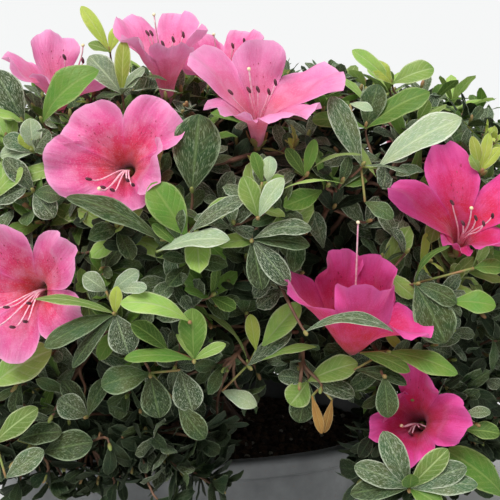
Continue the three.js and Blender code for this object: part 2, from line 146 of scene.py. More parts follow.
def steadyFor(ways, limit=0.7):
    # upright, or sideways where a way is itself nearly upright
    return np.where(np.abs(ways[:, 2:]) < limit, [[0.0, 0.0, 1.0]], [[1.0, 0.0, 0.0]])


def ringOf(side, over, sides):
    # side cos(angle) + over sin(angle), evenly round
    angle = (np.arange(sides) * 2 * math.pi / sides)[:, None]
    return side[..., None, :] * np.cos(angle) + over[..., None, :] * np.sin(angle)


def endWay(paths):
    return unit(paths[:, -1] - paths[:, -2])


def tubesAlong(paths, radii, sides):
    # rings of middle + radius (side cos angle + over sin angle) along each path, closed at both ends
    along = unit(np.gradient(paths, axis=1))
    steady = steadyFor(unit(paths[:, -1] - paths[:, 0]))[:, None, :]
    side = unit(steady - along * dot(along, steady))
    ring = ringOf(side, np.cross(along, side), sides)
    points = paths[:, :, None] + radii[:, :, None, None] * ring
    ends = [np.repeat(paths[:, k, None, None], sides, axis=2) for k in (0, -1)]
    points = np.concatenate([ends[0], points, ends[1]], axis=1)
    steps = np.linalg.norm(np.diff(paths, axis=1, prepend=paths[:, :1]), axis=2)
    run = np.pad(np.cumsum(steps, axis=1), ((0, 0), (1, 1)), mode="edge")
    uv = np.stack(np.broadcast_arrays(np.arange(sides)[None, None] / sides, run[:, :, None] / 10), -1)
    quads = gridQuads(len(paths), points.shape[1], sides, wrap=True)
    return points.reshape(-1, 3), quads, uv.reshape(-1, 2)


def blobs(middles, ways, long, wide, rows=6, sides=6):
    # small closed ovals: rings of wide sin(t) at long cos(t) along each way
    t = np.linspace(0, math.pi, rows)
    side = unit(np.cross(steadyFor(ways), ways))
    ring = ringOf(side, np.cross(ways, side), sides)[:, None]
    points = middles[:, None, None] - ways[:, None, None] * (long * np.cos(t))[None, :, None, None]
    points = points + ring * (wide * np.sin(t))[None, :, None, None]
    return points.reshape(-1, 3), gridQuads(len(middles), rows, sides, wrap=True)


# Node tools

def put(tree, kind, sockets=None, **settings):
    # adds a node, sets its settings, and gives each socket a value or a link
    node = tree.nodes.new("ShaderNode" + kind)
    for name, value in settings.items():
        setattr(node, name, value)
    for key, value in (sockets or {}).items():
        if isinstance(value, bpy.types.NodeSocket):
            tree.links.new(value, node.inputs[key])
        else:
            node.inputs[key].default_value = value
    return node


def sums(tree, kind, first, second=0.0, third=0.0):
    return put(tree, "Math", {0: first, 1: second, 2: third}, operation=kind).outputs[0]


def times(tree, first, second):
    return sums(tree, "MULTIPLY", first, second)


def plus(tree, first, second):
    return sums(tree, "ADD", first, second)


def less(tree, first, second):
    return sums(tree, "SUBTRACT", first, second)


def ranged(tree, value, low, high, toLow=0.0, toHigh=1.0):
    return put(tree, "MapRange", {0: value, 1: low, 2: high, 3: toLow, 4: toHigh}).outputs[0]


def colourMix(tree, factor, first, second, kind="MIX"):
    # each colour is a link, or a red, green and blue value
    first, second = [(*c, 1) if isinstance(c, tuple) else c for c in (first, second)]
    node = put(tree, "Mix", {0: factor, 6: first, 7: second}, data_type="RGBA", blend_type=kind)
    return node.outputs[2]


def noiseOf(tree, place, scale, detail, rough=0.5):
    sockets = {"Vector": place, "Scale": scale, "Detail": detail, "Roughness": rough}
    return put(tree, "TexNoise", sockets).outputs[0]


def valued(tree, colour, value):
    return put(tree, "HueSaturation", {"Value": value, "Color": colour}).outputs[0]


def rampOf(tree, factor, stops):
    node = put(tree, "ValToRGB", {0: factor})
    ramp = node.color_ramp
    while len(ramp.elements) < len(stops):
        ramp.elements.new(0.5)
    for element, (place, colour) in zip(ramp.elements, stops):
        element.position = place
        element.color = (*colour, 1)
    return node.outputs[0]


def newFinish(name):
    # an empty material, its node tree and the object's own coordinates
    material = bpy.data.materials.new(name)
    material.use_nodes = True
    tree = material.node_tree
    tree.nodes.clear()
    return material, tree, put(tree, "TexCoord").outputs["Object"]


def sheetPlace(tree):
    # the places along and across a sheet, its share off the midline, and its own shade
    uv = put(tree, "SeparateXYZ", {0: put(tree, "UVMap", uv_map="UVMap").outputs[0]})
    off = sums(tree, "ABSOLUTE", sums(tree, "MULTIPLY_ADD", uv.outputs[1], 2.0, -1.0))
    return uv.outputs[0], uv.outputs[1], off, put(tree, "Attribute", attribute_name="shade").outputs["Fac"]


def closeFinish(tree, colour, rough, bump, through=0.0, more=None):
    # a Principled surface with a bump of some strength, depth and height, mixed with light of its own
    # colour that shines through a thin sheet if through is above 0
    normal = put(tree, "Bump", {"Strength": bump[0], "Distance": bump[1], "Height": bump[2]}).outputs[0]
    sockets = {"Base Color": colour, "Roughness": rough, "Normal": normal, **(more or {})}
    surface = put(tree, "BsdfPrincipled", sockets).outputs[0]
    if through:
        behind = put(tree, "BsdfTranslucent", {"Color": colour, "Normal": normal}).outputs[0]
        surface = put(tree, "MixShader", {0: through, 1: surface, 2: behind}).outputs[0]
    put(tree, "OutputMaterial", {0: surface})


# The camera

photoView = {"target": (27.0, 0.0, 150.0), "elevation": 8.0, "distance": 550.0, "lens": 80.0, "frame": 500}
tilt = math.radians(photoView["elevation"])
viewRight = np.array([1.0, 0.0, 0.0])
viewForward = np.array([0.0, math.cos(tilt), -math.sin(tilt)])
viewUp = np.cross(viewRight, viewForward)
viewPlace = np.array(photoView["target"]) - viewForward * photoView["distance"]
perPoint = 36.0 / photoView["lens"] / photoView["frame"]


def pictureRay(spots):
    # the way through each picture point, with a length of 1 along the view
    across = (spots[:, :1] - photoView["frame"] / 2) * perPoint
    upward = (photoView["frame"] / 2 - spots[:, 1:]) * perPoint
    return viewForward + across * viewRight + upward * viewUp


def placeCamera():
    data = bpy.data.cameras.new("camera")
    data.lens = photoView["lens"]
    data.sensor_width = 36
    data.clip_start = 0.01
    camera = bpy.data.objects.new("camera", data)
    camera.location = viewPlace * 0.001
    camera.rotation_euler = (math.pi / 2 - tilt, 0, 0)
    bpy.context.scene.collection.objects.link(camera)
    bpy.context.scene.camera = camera


placeCamera()


# The crown's envelope and the spaces of its masses, by the source's rule

crown = {
    "middle": np.array([15.0, 0.0, 160.0]),
    "halfLength": 150,
    "halfDepth": 123,
    "rise": 74,
    "riseRight": 9,
    "hang": 88,
    "hangLess": 42,
    "arch": (40, 34),
    "upperPower": 2.8,
    "lowerPower": 3.6,
    "lowest": {"overPot": 70, "beside": 58},
    "potHalf": (103, 79),
    "skirtHalf": (158, 128),
    "farthest": 400.0,
    "halvings": 26,
}

masses = {
    "front_left": {"azimuth": -115.7, "share": 0.62, "height": 156, "boughFrom": 84, "radius": 6.6},
    "front_right": {"azimuth": -64.3, "share": 0.62, "height": 156, "boughFrom": 97, "radius": 6.2},
    "right": {"azimuth": -12.9, "share": 0.62, "height": 158, "boughFrom": 112, "radius": 6.0},
    "back_right": {"azimuth": 38.6, "share": 0.62, "height": 158, "boughFrom": 92, "radius": 6.2},
    "back": {"azimuth": 90, "share": 0.62, "height": 158, "boughFrom": 110, "radius": 5.8},
    "back_left": {"azimuth": 141.4, "share": 0.62, "height": 158, "boughFrom": 90, "radius": 6.2},
    "left": {"azimuth": 192.9, "share": 0.62, "height": 158, "boughFrom": 106, "radius": 6.0},
    "top_right": {"azimuth": 45, "share": 0.35, "height": 203, "boughFrom": 138, "radius": 4.6},
    "top_left": {"azimuth": 165, "share": 0.35, "height": 203, "boughFrom": 130, "radius": 4.8},
    "top_front": {"azimuth": -75, "share": 0.35, "height": 203, "boughFrom": None, "radius": 5.0},
}
foliageNodes = ["foliage_" + name for name in masses]
crownHalf = np.array([crown["halfLength"], crown["halfDepth"], crown["rise"]])


def onFoliage(name, slotName, finish, points, quads, uv=None, shade=None):
    # a piece that takes the place of the masses of foliage
    settle(buildPiece(name, points, quads, [finish], uv, shade), slotName, *foliageNodes)


def overPot(spot):
    # under 1 above the pot's oval
    return np.hypot(spot[:, 0] / crown["potHalf"][0], spot[:, 1] / crown["potHalf"][1])


def fullness(spot):
    # (across, deep) radius ^ power + (height share) ^ power: under 1 inside the crown
    across = (spot[..., 0] - crown["middle"][0]) / crown["halfLength"]
    deep = (spot[..., 1] - crown["middle"][1]) / crown["halfDepth"]
    up = spot[..., 2] - crown["middle"][2]
    out = np.hypot(across, deep)
    end = (across / np.maximum(out, 1e-6)) ** 4
    ahead = np.maximum(-deep / np.maximum(out, 1e-6), 0) ** 0.5
    arch = ahead * np.exp(-((spot[..., 0] - crown["arch"][0]) / crown["arch"][1]) ** 2)
    hang = crown["hang"] - crown["hangLess"] * np.maximum(end, arch)
    high = np.where(up > 0, crown["rise"] + crown["riseRight"] * np.maximum(across, 0), hang)
    power = np.where(up > 0, crown["upperPower"], crown["lowerPower"])
    return out ** power + np.abs(up / high) ** power


def reachOf(start, way):
    # how far the envelope lies from a spot inside it, by halving the range again and again
    near = np.zeros(len(way))
    far = np.full(len(way), crown["farthest"])
    for step in range(crown["halvings"]):
        half = (near + far) / 2
        inside = fullness(start + way * half[:, None]) < 1
        near = np.where(inside, half, near)
        far = np.where(inside, far, half)
    return near


def outwardOf(spot):
    # the slope of the fullness, square to the envelope
    moves = np.eye(3) * 0.5
    return unit(np.stack([fullness(spot + move) - fullness(spot - move) for move in moves], -1))


hearts = np.array([
    [crown["middle"][0] + crown["halfLength"] * m["share"] * math.cos(math.radians(m["azimuth"])),
     crown["middle"][1] + crown["halfDepth"] * m["share"] * math.sin(math.radians(m["azimuth"])),
     m["height"]]
    for m in masses.values()])


def massOf(spot):
    return np.argmin(np.linalg.norm(spot[:, None] - hearts[None], axis=2), axis=1)


def heldInside(spot, mass, margin):
    # moves each spot back over the mid-planes between its mass's heart and the others
    spot = spot.copy()
    for turn in range(3):
        for other in range(len(hearts)):
            span = hearts[other] - hearts[mass]
            normal = unit(span)
            over = dot(spot - (hearts[mass] + hearts[other]) / 2, normal) + margin
            spot -= normal * np.where((mass == other)[:, None], 0, np.maximum(over, 0))
    return spot


# The trunk and the boughs

trunk = {
    "footRadius": 15,
    "tipRadius": 5,
    "flare": 11,
    "flareHigh": 15,
    "roots": 5,
    "rootDepth": 0.3,
    "soil": 62,
    "path": [[-5, 2, 52], [-7, 3, 78], [-13, 6, 106], [-4, 4, 134], [6, -6, 160], [12, -16, 180]],
    "relief": 0.55,
    "rows": 150,
    "sides": 96,
}
bough = {"tipRadius": 2.8, "entry": 34, "relief": 0.28, "collar": 0.45, "wander": 1.1, "rows": 80,
         "sides": 32}


def evenly(points, rows=400):
    # the same line, with its points spaced evenly by length
    run = np.concatenate([[0], np.cumsum(np.linalg.norm(np.diff(points, axis=0), axis=1))])
    even = np.linspace(0, run[-1], rows)
    return np.stack([np.interp(even, run, points[:, k]) for k in range(3)], -1)


def trunkLine():
    # a centripetal Catmull-Rom curve through the trunk's path
    knots = np.array(trunk["path"], float)
    ends = np.concatenate([[2 * knots[0] - knots[1]], knots, [2 * knots[-1] - knots[-2]]])
    p0, p1, p2, p3 = ends[:-3], ends[1:-2], ends[2:-1], ends[3:]
    spans = (p1 - p0, p2 - p1, p3 - p2)
    d0, d1, d2 = [np.sqrt(np.linalg.norm(span, axis=1, keepdims=True)) for span in spans]
    m1 = ((p1 - p0) / d0 - (p2 - p0) / (d0 + d1) + (p2 - p1) / d1) * d1
    m2 = ((p2 - p1) / d1 - (p3 - p1) / (d1 + d2) + (p3 - p2) / d2) * d1
    s = np.linspace(0, 1, 60, endpoint=False)[None, :, None]
    p1, p2, m1, m2 = [p[:, None] for p in (p1, p2, m1, m2)]
    curve = p1 + m1 * s + (3 * p2 - 3 * p1 - 2 * m1 - m2) * s ** 2 + (2 * p1 - 2 * p2 + m1 + m2) * s ** 3
    return evenly(np.concatenate([curve.reshape(-1, 3), knots[-1:]]))


trunkPath = trunkLine()


def trunkAt(height):
    return np.array([np.interp(height, trunkPath[:, 2], trunkPath[:, k]) for k in range(3)])


def ripple(angle, t, terms, number):
    # a sum of waves round and along a limb, whose sizes fall as they get finer
    total = 0
    for k in range(terms):
        item = number * 50 + k
        around = np.round(drawn(1, 13, item, 31))
        run = drawn(2, 34, item, 32) * (1 if chance(item, 33) > 0.5 else -1)
        size = 1 / (1 + 0.12 * around + 0.05 * abs(run))
        total = total + size * np.sin(around * angle + run * t + wholeTurn * chance(item, 34))
    return total / math.sqrt(terms)


def limbSurface(path, radius, steady, rows, sides, capFrom=None):
    # rings of a radius that depends on the place along the limb and on the angle round it
    t = np.linspace(0, 1, rows)
    line = np.stack([np.interp(t, np.linspace(0, 1, len(path)), path[:, k]) for k in range(3)], -1)
    along = unit(np.gradient(line, axis=0))
    side = unit(steady - along * dot(along, steady))
    ring = ringOf(side, np.cross(along, side), sides)
    angle = np.arange(sides) * 2 * math.pi / sides
    points = line[:, None] + ring * radius(t[:, None], angle[None, :])[..., None]
    if capFrom is not None:  # the foot is flat at the soil
        low = smooth(capFrom + 16, capFrom, points[..., 2])
        flat = mixed(points[..., 2], np.broadcast_to(line[:, None, 2], points.shape[:2]), low)
        points[..., 2] = np.maximum(flat, capFrom)
    tip = line[-1] + along[-1] * radius(1.0, angle).mean() * 0.5
    ends = [np.broadcast_to(end, (1, sides, 3)) for end in (line[0], tip)]
    points = np.concatenate([ends[0], points, ends[1]])
    span = np.linalg.norm(np.diff(path, axis=0), axis=1).sum()
    run = np.concatenate([[0], t, [1]]) * span / 30
    uv = np.stack(np.broadcast_arrays(angle[None] / (2 * math.pi), run[:, None]), -1)
    return points.reshape(-1, 3), gridQuads(1, rows + 2, sides, wrap=True), uv.reshape(-1, 2)


def trunkRadius(t, angle):
    # the source's taper, flare and lobed roots, with finer root ribs, flutes and flaking bark on top
    height = mixed(trunkFrom, trunkPath[-1, 2], t) - trunk["soil"]
    flare = np.exp(-np.maximum(height, 0) / trunk["flareHigh"])
    lobe = np.cos(trunk["roots"] * angle + 0.6)
    root = 1 + trunk["rootDepth"] * flare * lobe + 0.1 * flare * np.cos(11 * angle + 2.1 + 2 * lobe)
    flute = 0.7 * np.sin(3 * angle + 5 * t) + 0.55 * np.sin(8 * angle - 9 * t + 1)
    flute = flute + 0.9 * flare * np.sin(19 * angle + 3 * np.sin(7 * t)) ** 3
    share = (height + trunk["soil"] - trunkPath[0, 2]) / (trunkPath[-1, 2] - trunkPath[0, 2])
    body = mixed(trunk["footRadius"], trunk["tipRadius"], share)
    return (body + trunk["flare"] * flare) * root + flute + trunk["relief"] * ripple(angle, t * 3, 22, 1)


trunkFrom = trunk["soil"] + 0.3
barkLook = {
    "deep": (0.022, 0.01, 0.006),
    "brown": (0.13, 0.06, 0.034),
    "flake": (0.33, 0.22, 0.15),
    "rough": 0.8,
}


def barkFinish():
    # red-brown bark with darker furrows and thin paler flakes drawn out along the limb
    material, tree, place = newFinish("flaking_bark")
    uv = put(tree, "UVMap", uv_map="UVMap").outputs[0]
    strip = put(tree, "Mapping", {"Vector": uv, "Scale": (9, 2.4, 1)}).outputs[0]
    grain = noiseOf(tree, strip, 1.6, 6, 0.65)
    patch = noiseOf(tree, place, 95, 5, 0.6)
    fine = noiseOf(tree, place, 520, 4, 0.6)
    stops = [(0.34, barkLook["deep"]), (0.52, barkLook["brown"]), (0.74, barkLook["flake"])]
    colour = rampOf(tree, grain, stops)
    colour = colourMix(tree, ranged(tree, patch, 0.5, 0.66, 0.0, 0.45), colour, barkLook["flake"])
    colour = colourMix(tree, ranged(tree, fine, 0.35, 0.7, 0.0, 0.4), colour, barkLook["deep"])
    height = plus(tree, times(tree, grain, 0.8), times(tree, fine, 0.35))
    closeFinish(tree, colour, barkLook["rough"], (0.8, 0.0012, height))
    return material


bark = barkFinish()
fromShare = np.interp(trunkFrom, trunkPath[:, 2], np.linspace(0, 1, len(trunkPath)))
aboveSoil = evenly(np.concatenate([[trunkAt(trunkFrom)], trunkPath[np.linspace(0, 1, 400) > fromShare]]))
points, quads, uv = limbSurface(
    aboveSoil, trunkRadius, np.array([1.0, 0, 0]), trunk["rows"], trunk["sides"], capFrom=trunkFrom)
settle(buildPiece("trunk_bark", points, quads, [bark], uv), "bark", "trunk")

entries = np.zeros((len(masses), 3))
entryWays = np.zeros((len(masses), 3))
limbSpots = [trunkPath[::20]]
for number, (name, m) in enumerate(masses.items()):
    if m["boughFrom"] is None:
        entries[number] = trunkPath[-1]
        entryWays[number] = unit(trunkPath[-1] - trunkPath[-20])
        continue
    start = trunkAt(m["boughFrom"])
    away = hearts[number] - start
    level = unit(np.array([away[0], away[1], 0.0]))
    entering = unit(np.array([level[0], level[1], 1.1]))
    end = hearts[number] - entering * bough["entry"]
    span = np.linalg.norm(end - start)
    corners = [start, start + level * span * 0.45 + [0, 0, 0.06 * span], end - entering * span * 0.3, end]
    path = evenly(bezier(*[corner[None] for corner in corners], 200)[0])
    sway = np.linspace(0, 1, len(path))[:, None]
    swayAcross = np.array([-level[1], level[0], 0.0]) * np.sin(9 * sway + number)
    swayUp = np.array([0, 0, 1.0]) * np.sin(13 * sway + 2 * number)
    path = path + (swayAcross + swayUp) * bough["wander"] * np.sin(math.pi * sway)

    def boughRadius(t, angle, m=m, number=number, span=span):
        taper = mixed(m["radius"], bough["tipRadius"], t ** 0.8)
        collar = 1 + bough["collar"] * np.exp(-t * span / 9)
        knots = 1 + 0.07 * np.sin(t * 21 + number) ** 4
        return taper * collar * knots + bough["relief"] * ripple(angle, t * 3, 16, 2 + number)

    steady = np.array([-level[1], level[0], 0.0])
    points, quads, uv = limbSurface(path, boughRadius, steady, bough["rows"], bough["sides"])
    settle(buildPiece("bark_" + name, points, quads, [bark], uv), "bark", "bough_" + name)
    entries[number] = end
    entryWays[number] = entering
    limbSpots.append(path[::20])
limbSpots = np.concatenate(limbSpots)
print("trunk and boughs done")


# The shoots of the source, named and spread

namedBlooms = [
    # where the tube starts, its way, how far it opens, the turn of its lobes in degrees, its size, the
    # share that is fused, how wide a bowl its base is, its style's length and droop, the shares of the
    # stamens' length and droop, its light (painted shade or painted sunlight on the petals' colour), and
    # the lobes' own opening, length, turn and width, from the lowest one round by the picture's left
    {"at": (-21, -98, 195), "facing": (-0.1, -0.95, 0.25), "open": 0.8, "roll": 0, "size": 1.0,
     "opens": (-0.46, 0.05, 0, -0.04, -0.5), "lengths": (0.72, 0.95, 0.86, 0.95, 0.84),
     "turns": (-5, 16, -6, 8, -8)},
    {"at": (-60, -48, 214), "facing": (0.25, -0.25, 0.9), "open": 0.5, "roll": 48, "size": 1.0,
     "opens": (0, 0.25, -0.1, 0.3, 0), "lengths": (0.85, 0.9, 1, 0.95, 0.9), "fused": 0.6,
     "light": "painted_sun"},
    {"at": (-9, -58, 222), "facing": (0, -0.25, 0.95), "open": 0.35, "roll": 55, "size": 0.98,
     "opens": (-0.1, 0.1, 0, -0.1, -0.1), "lengths": (0.85, 1, 1.06, 0.9, 0.85), "fused": 0.6,
     "light": "painted_sun"},
    {"at": (16, -26, 219), "facing": (-0.05, -0.35, 0.95), "open": 0.5, "roll": 0, "size": 0.85},
    {"at": (30, -97, 206), "facing": (0, -0.45, 0.9), "open": 0.6, "roll": 36, "size": 1.02,
     "opens": (0, -0.1, -0.3, 0.2, 0.1), "lengths": (0.88, 1.03, 1, 1.06, 0.9), "fused": 0.62,
     "light": "painted_sun"},
    {"at": (114, -84, 160), "facing": (0.03, -0.6, 0.8), "open": 0.8, "roll": 28, "size": 1.05,
     "opens": (-0.2, -0.05, -0.15, 0, -0.2), "lengths": (0.48, 1.08, 1.15, 1.05, 0.78),
     "widths": (0.7, 0.66, 0.64, 0.76, 0.9), "fused": 0.5, "light": "painted_shade"},
    {"at": (-54, -98, 148), "facing": (-0.35, -0.9, 0.1), "open": 0.75, "roll": 12, "size": 0.84,
     "fused": 0.6},
    {"at": (68, -106, 123), "facing": (0.05, -0.35, 0.95), "open": 0.3, "roll": 0, "size": 1.0,
     "opens": (-0.42, 0.12, -0.36, -0.36, 0.5), "lengths": (1.1, 1.12, 1.05, 1.0, 0.88),
     "turns": (-8, 0, 0, 0, 0), "widths": (1.05, 0.75, 0.9, 0.9, 0.75), "bowl": 0.5,
     "style": (56, 2), "stamens": 0.7, "droops": 0.1, "light": "painted_shade"},
    {"at": (100, -92, 88), "facing": (-0.37, -0.72, 0.36), "open": 0.35, "roll": 51, "size": 0.8,
     "opens": (-0.1, -0.34, 0, 0.12, 0), "lengths": (0.85, 0.8, 1.05, 1.12, 0.98),
     "style": (17, 3), "stamens": 0.45, "droops": 0.5, "light": "painted_shade"},
]
namedLeaves = np.array([
    (-25, -117, 137), (17, -112, 118), (93, -98, 84), (-26, -82, 214), (8, -122, 178), (32, -120, 190),
    (63, -108, 192), (84, -86, 202), (82, -108, 116), (47, -112, 112), (-62, -108, 117), (-54, -104, 96),
    (-52, -76, 211), (-24, -120, 176), (-30, -100, 82), (-70, -94, 82), (112, -88, 90), (126, -76, 84),
    (-86, -80, 80), (-74, -92, 68), (106, -92, 72), (-46, -98, 70), (-16, -98, 78), (-98, -62, 76),
    (40, 60, 228),
], float)
shootRule = {"count": 92, "bloomShare": 0.37, "clearOfNamed": 27, "bloomDepth": 0.83, "leafDepth": 0.93,
             "spread": 0.07, "frontLeft": -115, "frontRight": 170, "frontBack": 40, "petal": 52,
             "lobeShare": 0.52, "lean": (18, 74)}


def wayOnCrown(up, turn):
    # a direction from the crown's middle, by its height share and its turn
    level = np.sqrt(np.maximum(1 - up * up, 0))
    return unit(np.stack([
        crown["halfLength"] * level * np.cos(turn),
        crown["halfDepth"] * level * np.sin(turn),
        np.where(up > 0, crown["rise"], crown["hang"] - 0.5 * crown["hangLess"]) * up], -1))


def leaningOut(spot, number):
    # outward, turned a little by chance and a little upward
    facing = outwardOf(spot)
    facing[:, 0] += drawn(-0.35, 0.35, number, 2)
    facing[:, 1] += drawn(-0.35, 0.35, number, 3)
    facing[:, 2] += drawn(0.1, 0.6, number, 4)
    return unit(facing)


index = np.arange(shootRule["count"])
shootNumber = 100 + index
up = mixed(1, -0.68, ((index + 0.5) / shootRule["count"]) ** 1.08)
way = wayOnCrown(up, index * golden)
reached = reachOf(crown["middle"], way)[:, None]
rim = crown["middle"] + way * reached
atFront = (rim[:, 0] > shootRule["frontLeft"]) & (rim[:, 0] < shootRule["frontRight"])
atFront &= rim[:, 1] < shootRule["frontBack"]  # only the named ones bloom there
blooming = ~atFront & (up > -0.45) & (chance(shootNumber, 5) < shootRule["bloomShare"])
depth = np.where(blooming, shootRule["bloomDepth"], shootRule["leafDepth"])
depth = depth + shootRule["spread"] * chance(shootNumber, 1)
spot = crown["middle"] + way * reached * depth[:, None]
bloomSpots = np.array([b["at"] for b in namedBlooms], float)
named = np.concatenate([bloomSpots, namedLeaves])
clear = np.linalg.norm(spot[:, None] - named[None], axis=2).min(1) >= shootRule["clearOfNamed"]
spot, shootNumber, blooming = spot[clear], shootNumber[clear], blooming[clear]
shootFacing = leaningOut(spot, shootNumber)
spot = heldInside(spot, massOf(spot), np.where(blooming, 16.0, 3.0)[:, None])
bloomNumber = shootNumber[blooming]
blooms = {
    "base": np.concatenate([bloomSpots, spot[blooming]]),
    "facing": unit(np.concatenate([[b["facing"] for b in namedBlooms], shootFacing[blooming]])),
    "open": np.concatenate([[b["open"] for b in namedBlooms], drawn(0.45, 0.85, bloomNumber, 6)]),
    "roll": np.concatenate([[b["roll"] for b in namedBlooms], 360 * chance(bloomNumber, 13)]),
    "size": shootRule["petal"] * np.concatenate([
        [b["size"] for b in namedBlooms], drawn(0.9, 1.04, bloomNumber, 12)]),
    "number": np.concatenate([np.arange(len(namedBlooms)), bloomNumber]),
}
bloomCount = len(blooms["base"])
leafShootSpots = np.concatenate([namedLeaves, spot[~blooming]])
sourceSpots = np.concatenate([blooms["base"], leafShootSpots])
leafOrder = np.arange(len(namedLeaves))
sourceFacing = np.concatenate([
    blooms["facing"], leaningOut(namedLeaves, leafOrder), shootFacing[~blooming]])
sourceNumber = np.concatenate([
    blooms["number"], len(namedBlooms) + leafOrder, shootNumber[~blooming]])
sourceMass = massOf(sourceSpots)
print("source shoots:", len(sourceSpots), "with", bloomCount, "blooms")


def sourceTwigs():
    # each twig leaves its bough's tip, passes by the mass's heart and ends in its shoot
    start = entries[sourceMass] - entryWays[sourceMass] * 2
    heart = hearts[sourceMass]
    apart = np.stack([drawn(-1, 1, sourceNumber, k) for k in (41, 42, 43)], -1)
    span = np.linalg.norm(sourceSpots - heart, axis=1, keepdims=True)
    second = mixed(start, heart, 0.75) + apart * 2.5
    third = mixed(heart, sourceSpots, 0.62) + apart * 0.1 * span - sourceFacing * 0.12 * span
    paths = bezier(start, second, third, sourceSpots, 16)
    t = np.linspace(0, 1, 16)[None]
    kink = 0.7 * np.sin(17 * t[..., None] + sourceNumber[:, None, None] + np.array([0, 2, 4]))
    paths = paths + kink * np.sin(math.pi * t[..., None])
    return paths, mixed(2.3, 0.7, t ** 0.7) * np.ones((len(paths), 1))


twigPaths, twigRadii = sourceTwigs()


# Sprays at the front, by picture points

def leaf(tip, wide, tone, nearer=4, face=35, lift=0.08, base=None):
    # a leaf's tip in the picture, its width, its tone, how much nearer its tip is than the stem, how far it
    # faces up in degrees, how far it arches, and its own base in the picture where that isn't the stem
    return {"tip": tip, "wide": wide, "tone": tone, "nearer": nearer, "face": face, "lift": lift,
            "base": base}


def spray(stem, inset, *leaves):
    # a stem's end in the picture, how far inside the crown's face it is, and its leaves
    return {"stem": stem, "inset": inset, "leaves": leaves}


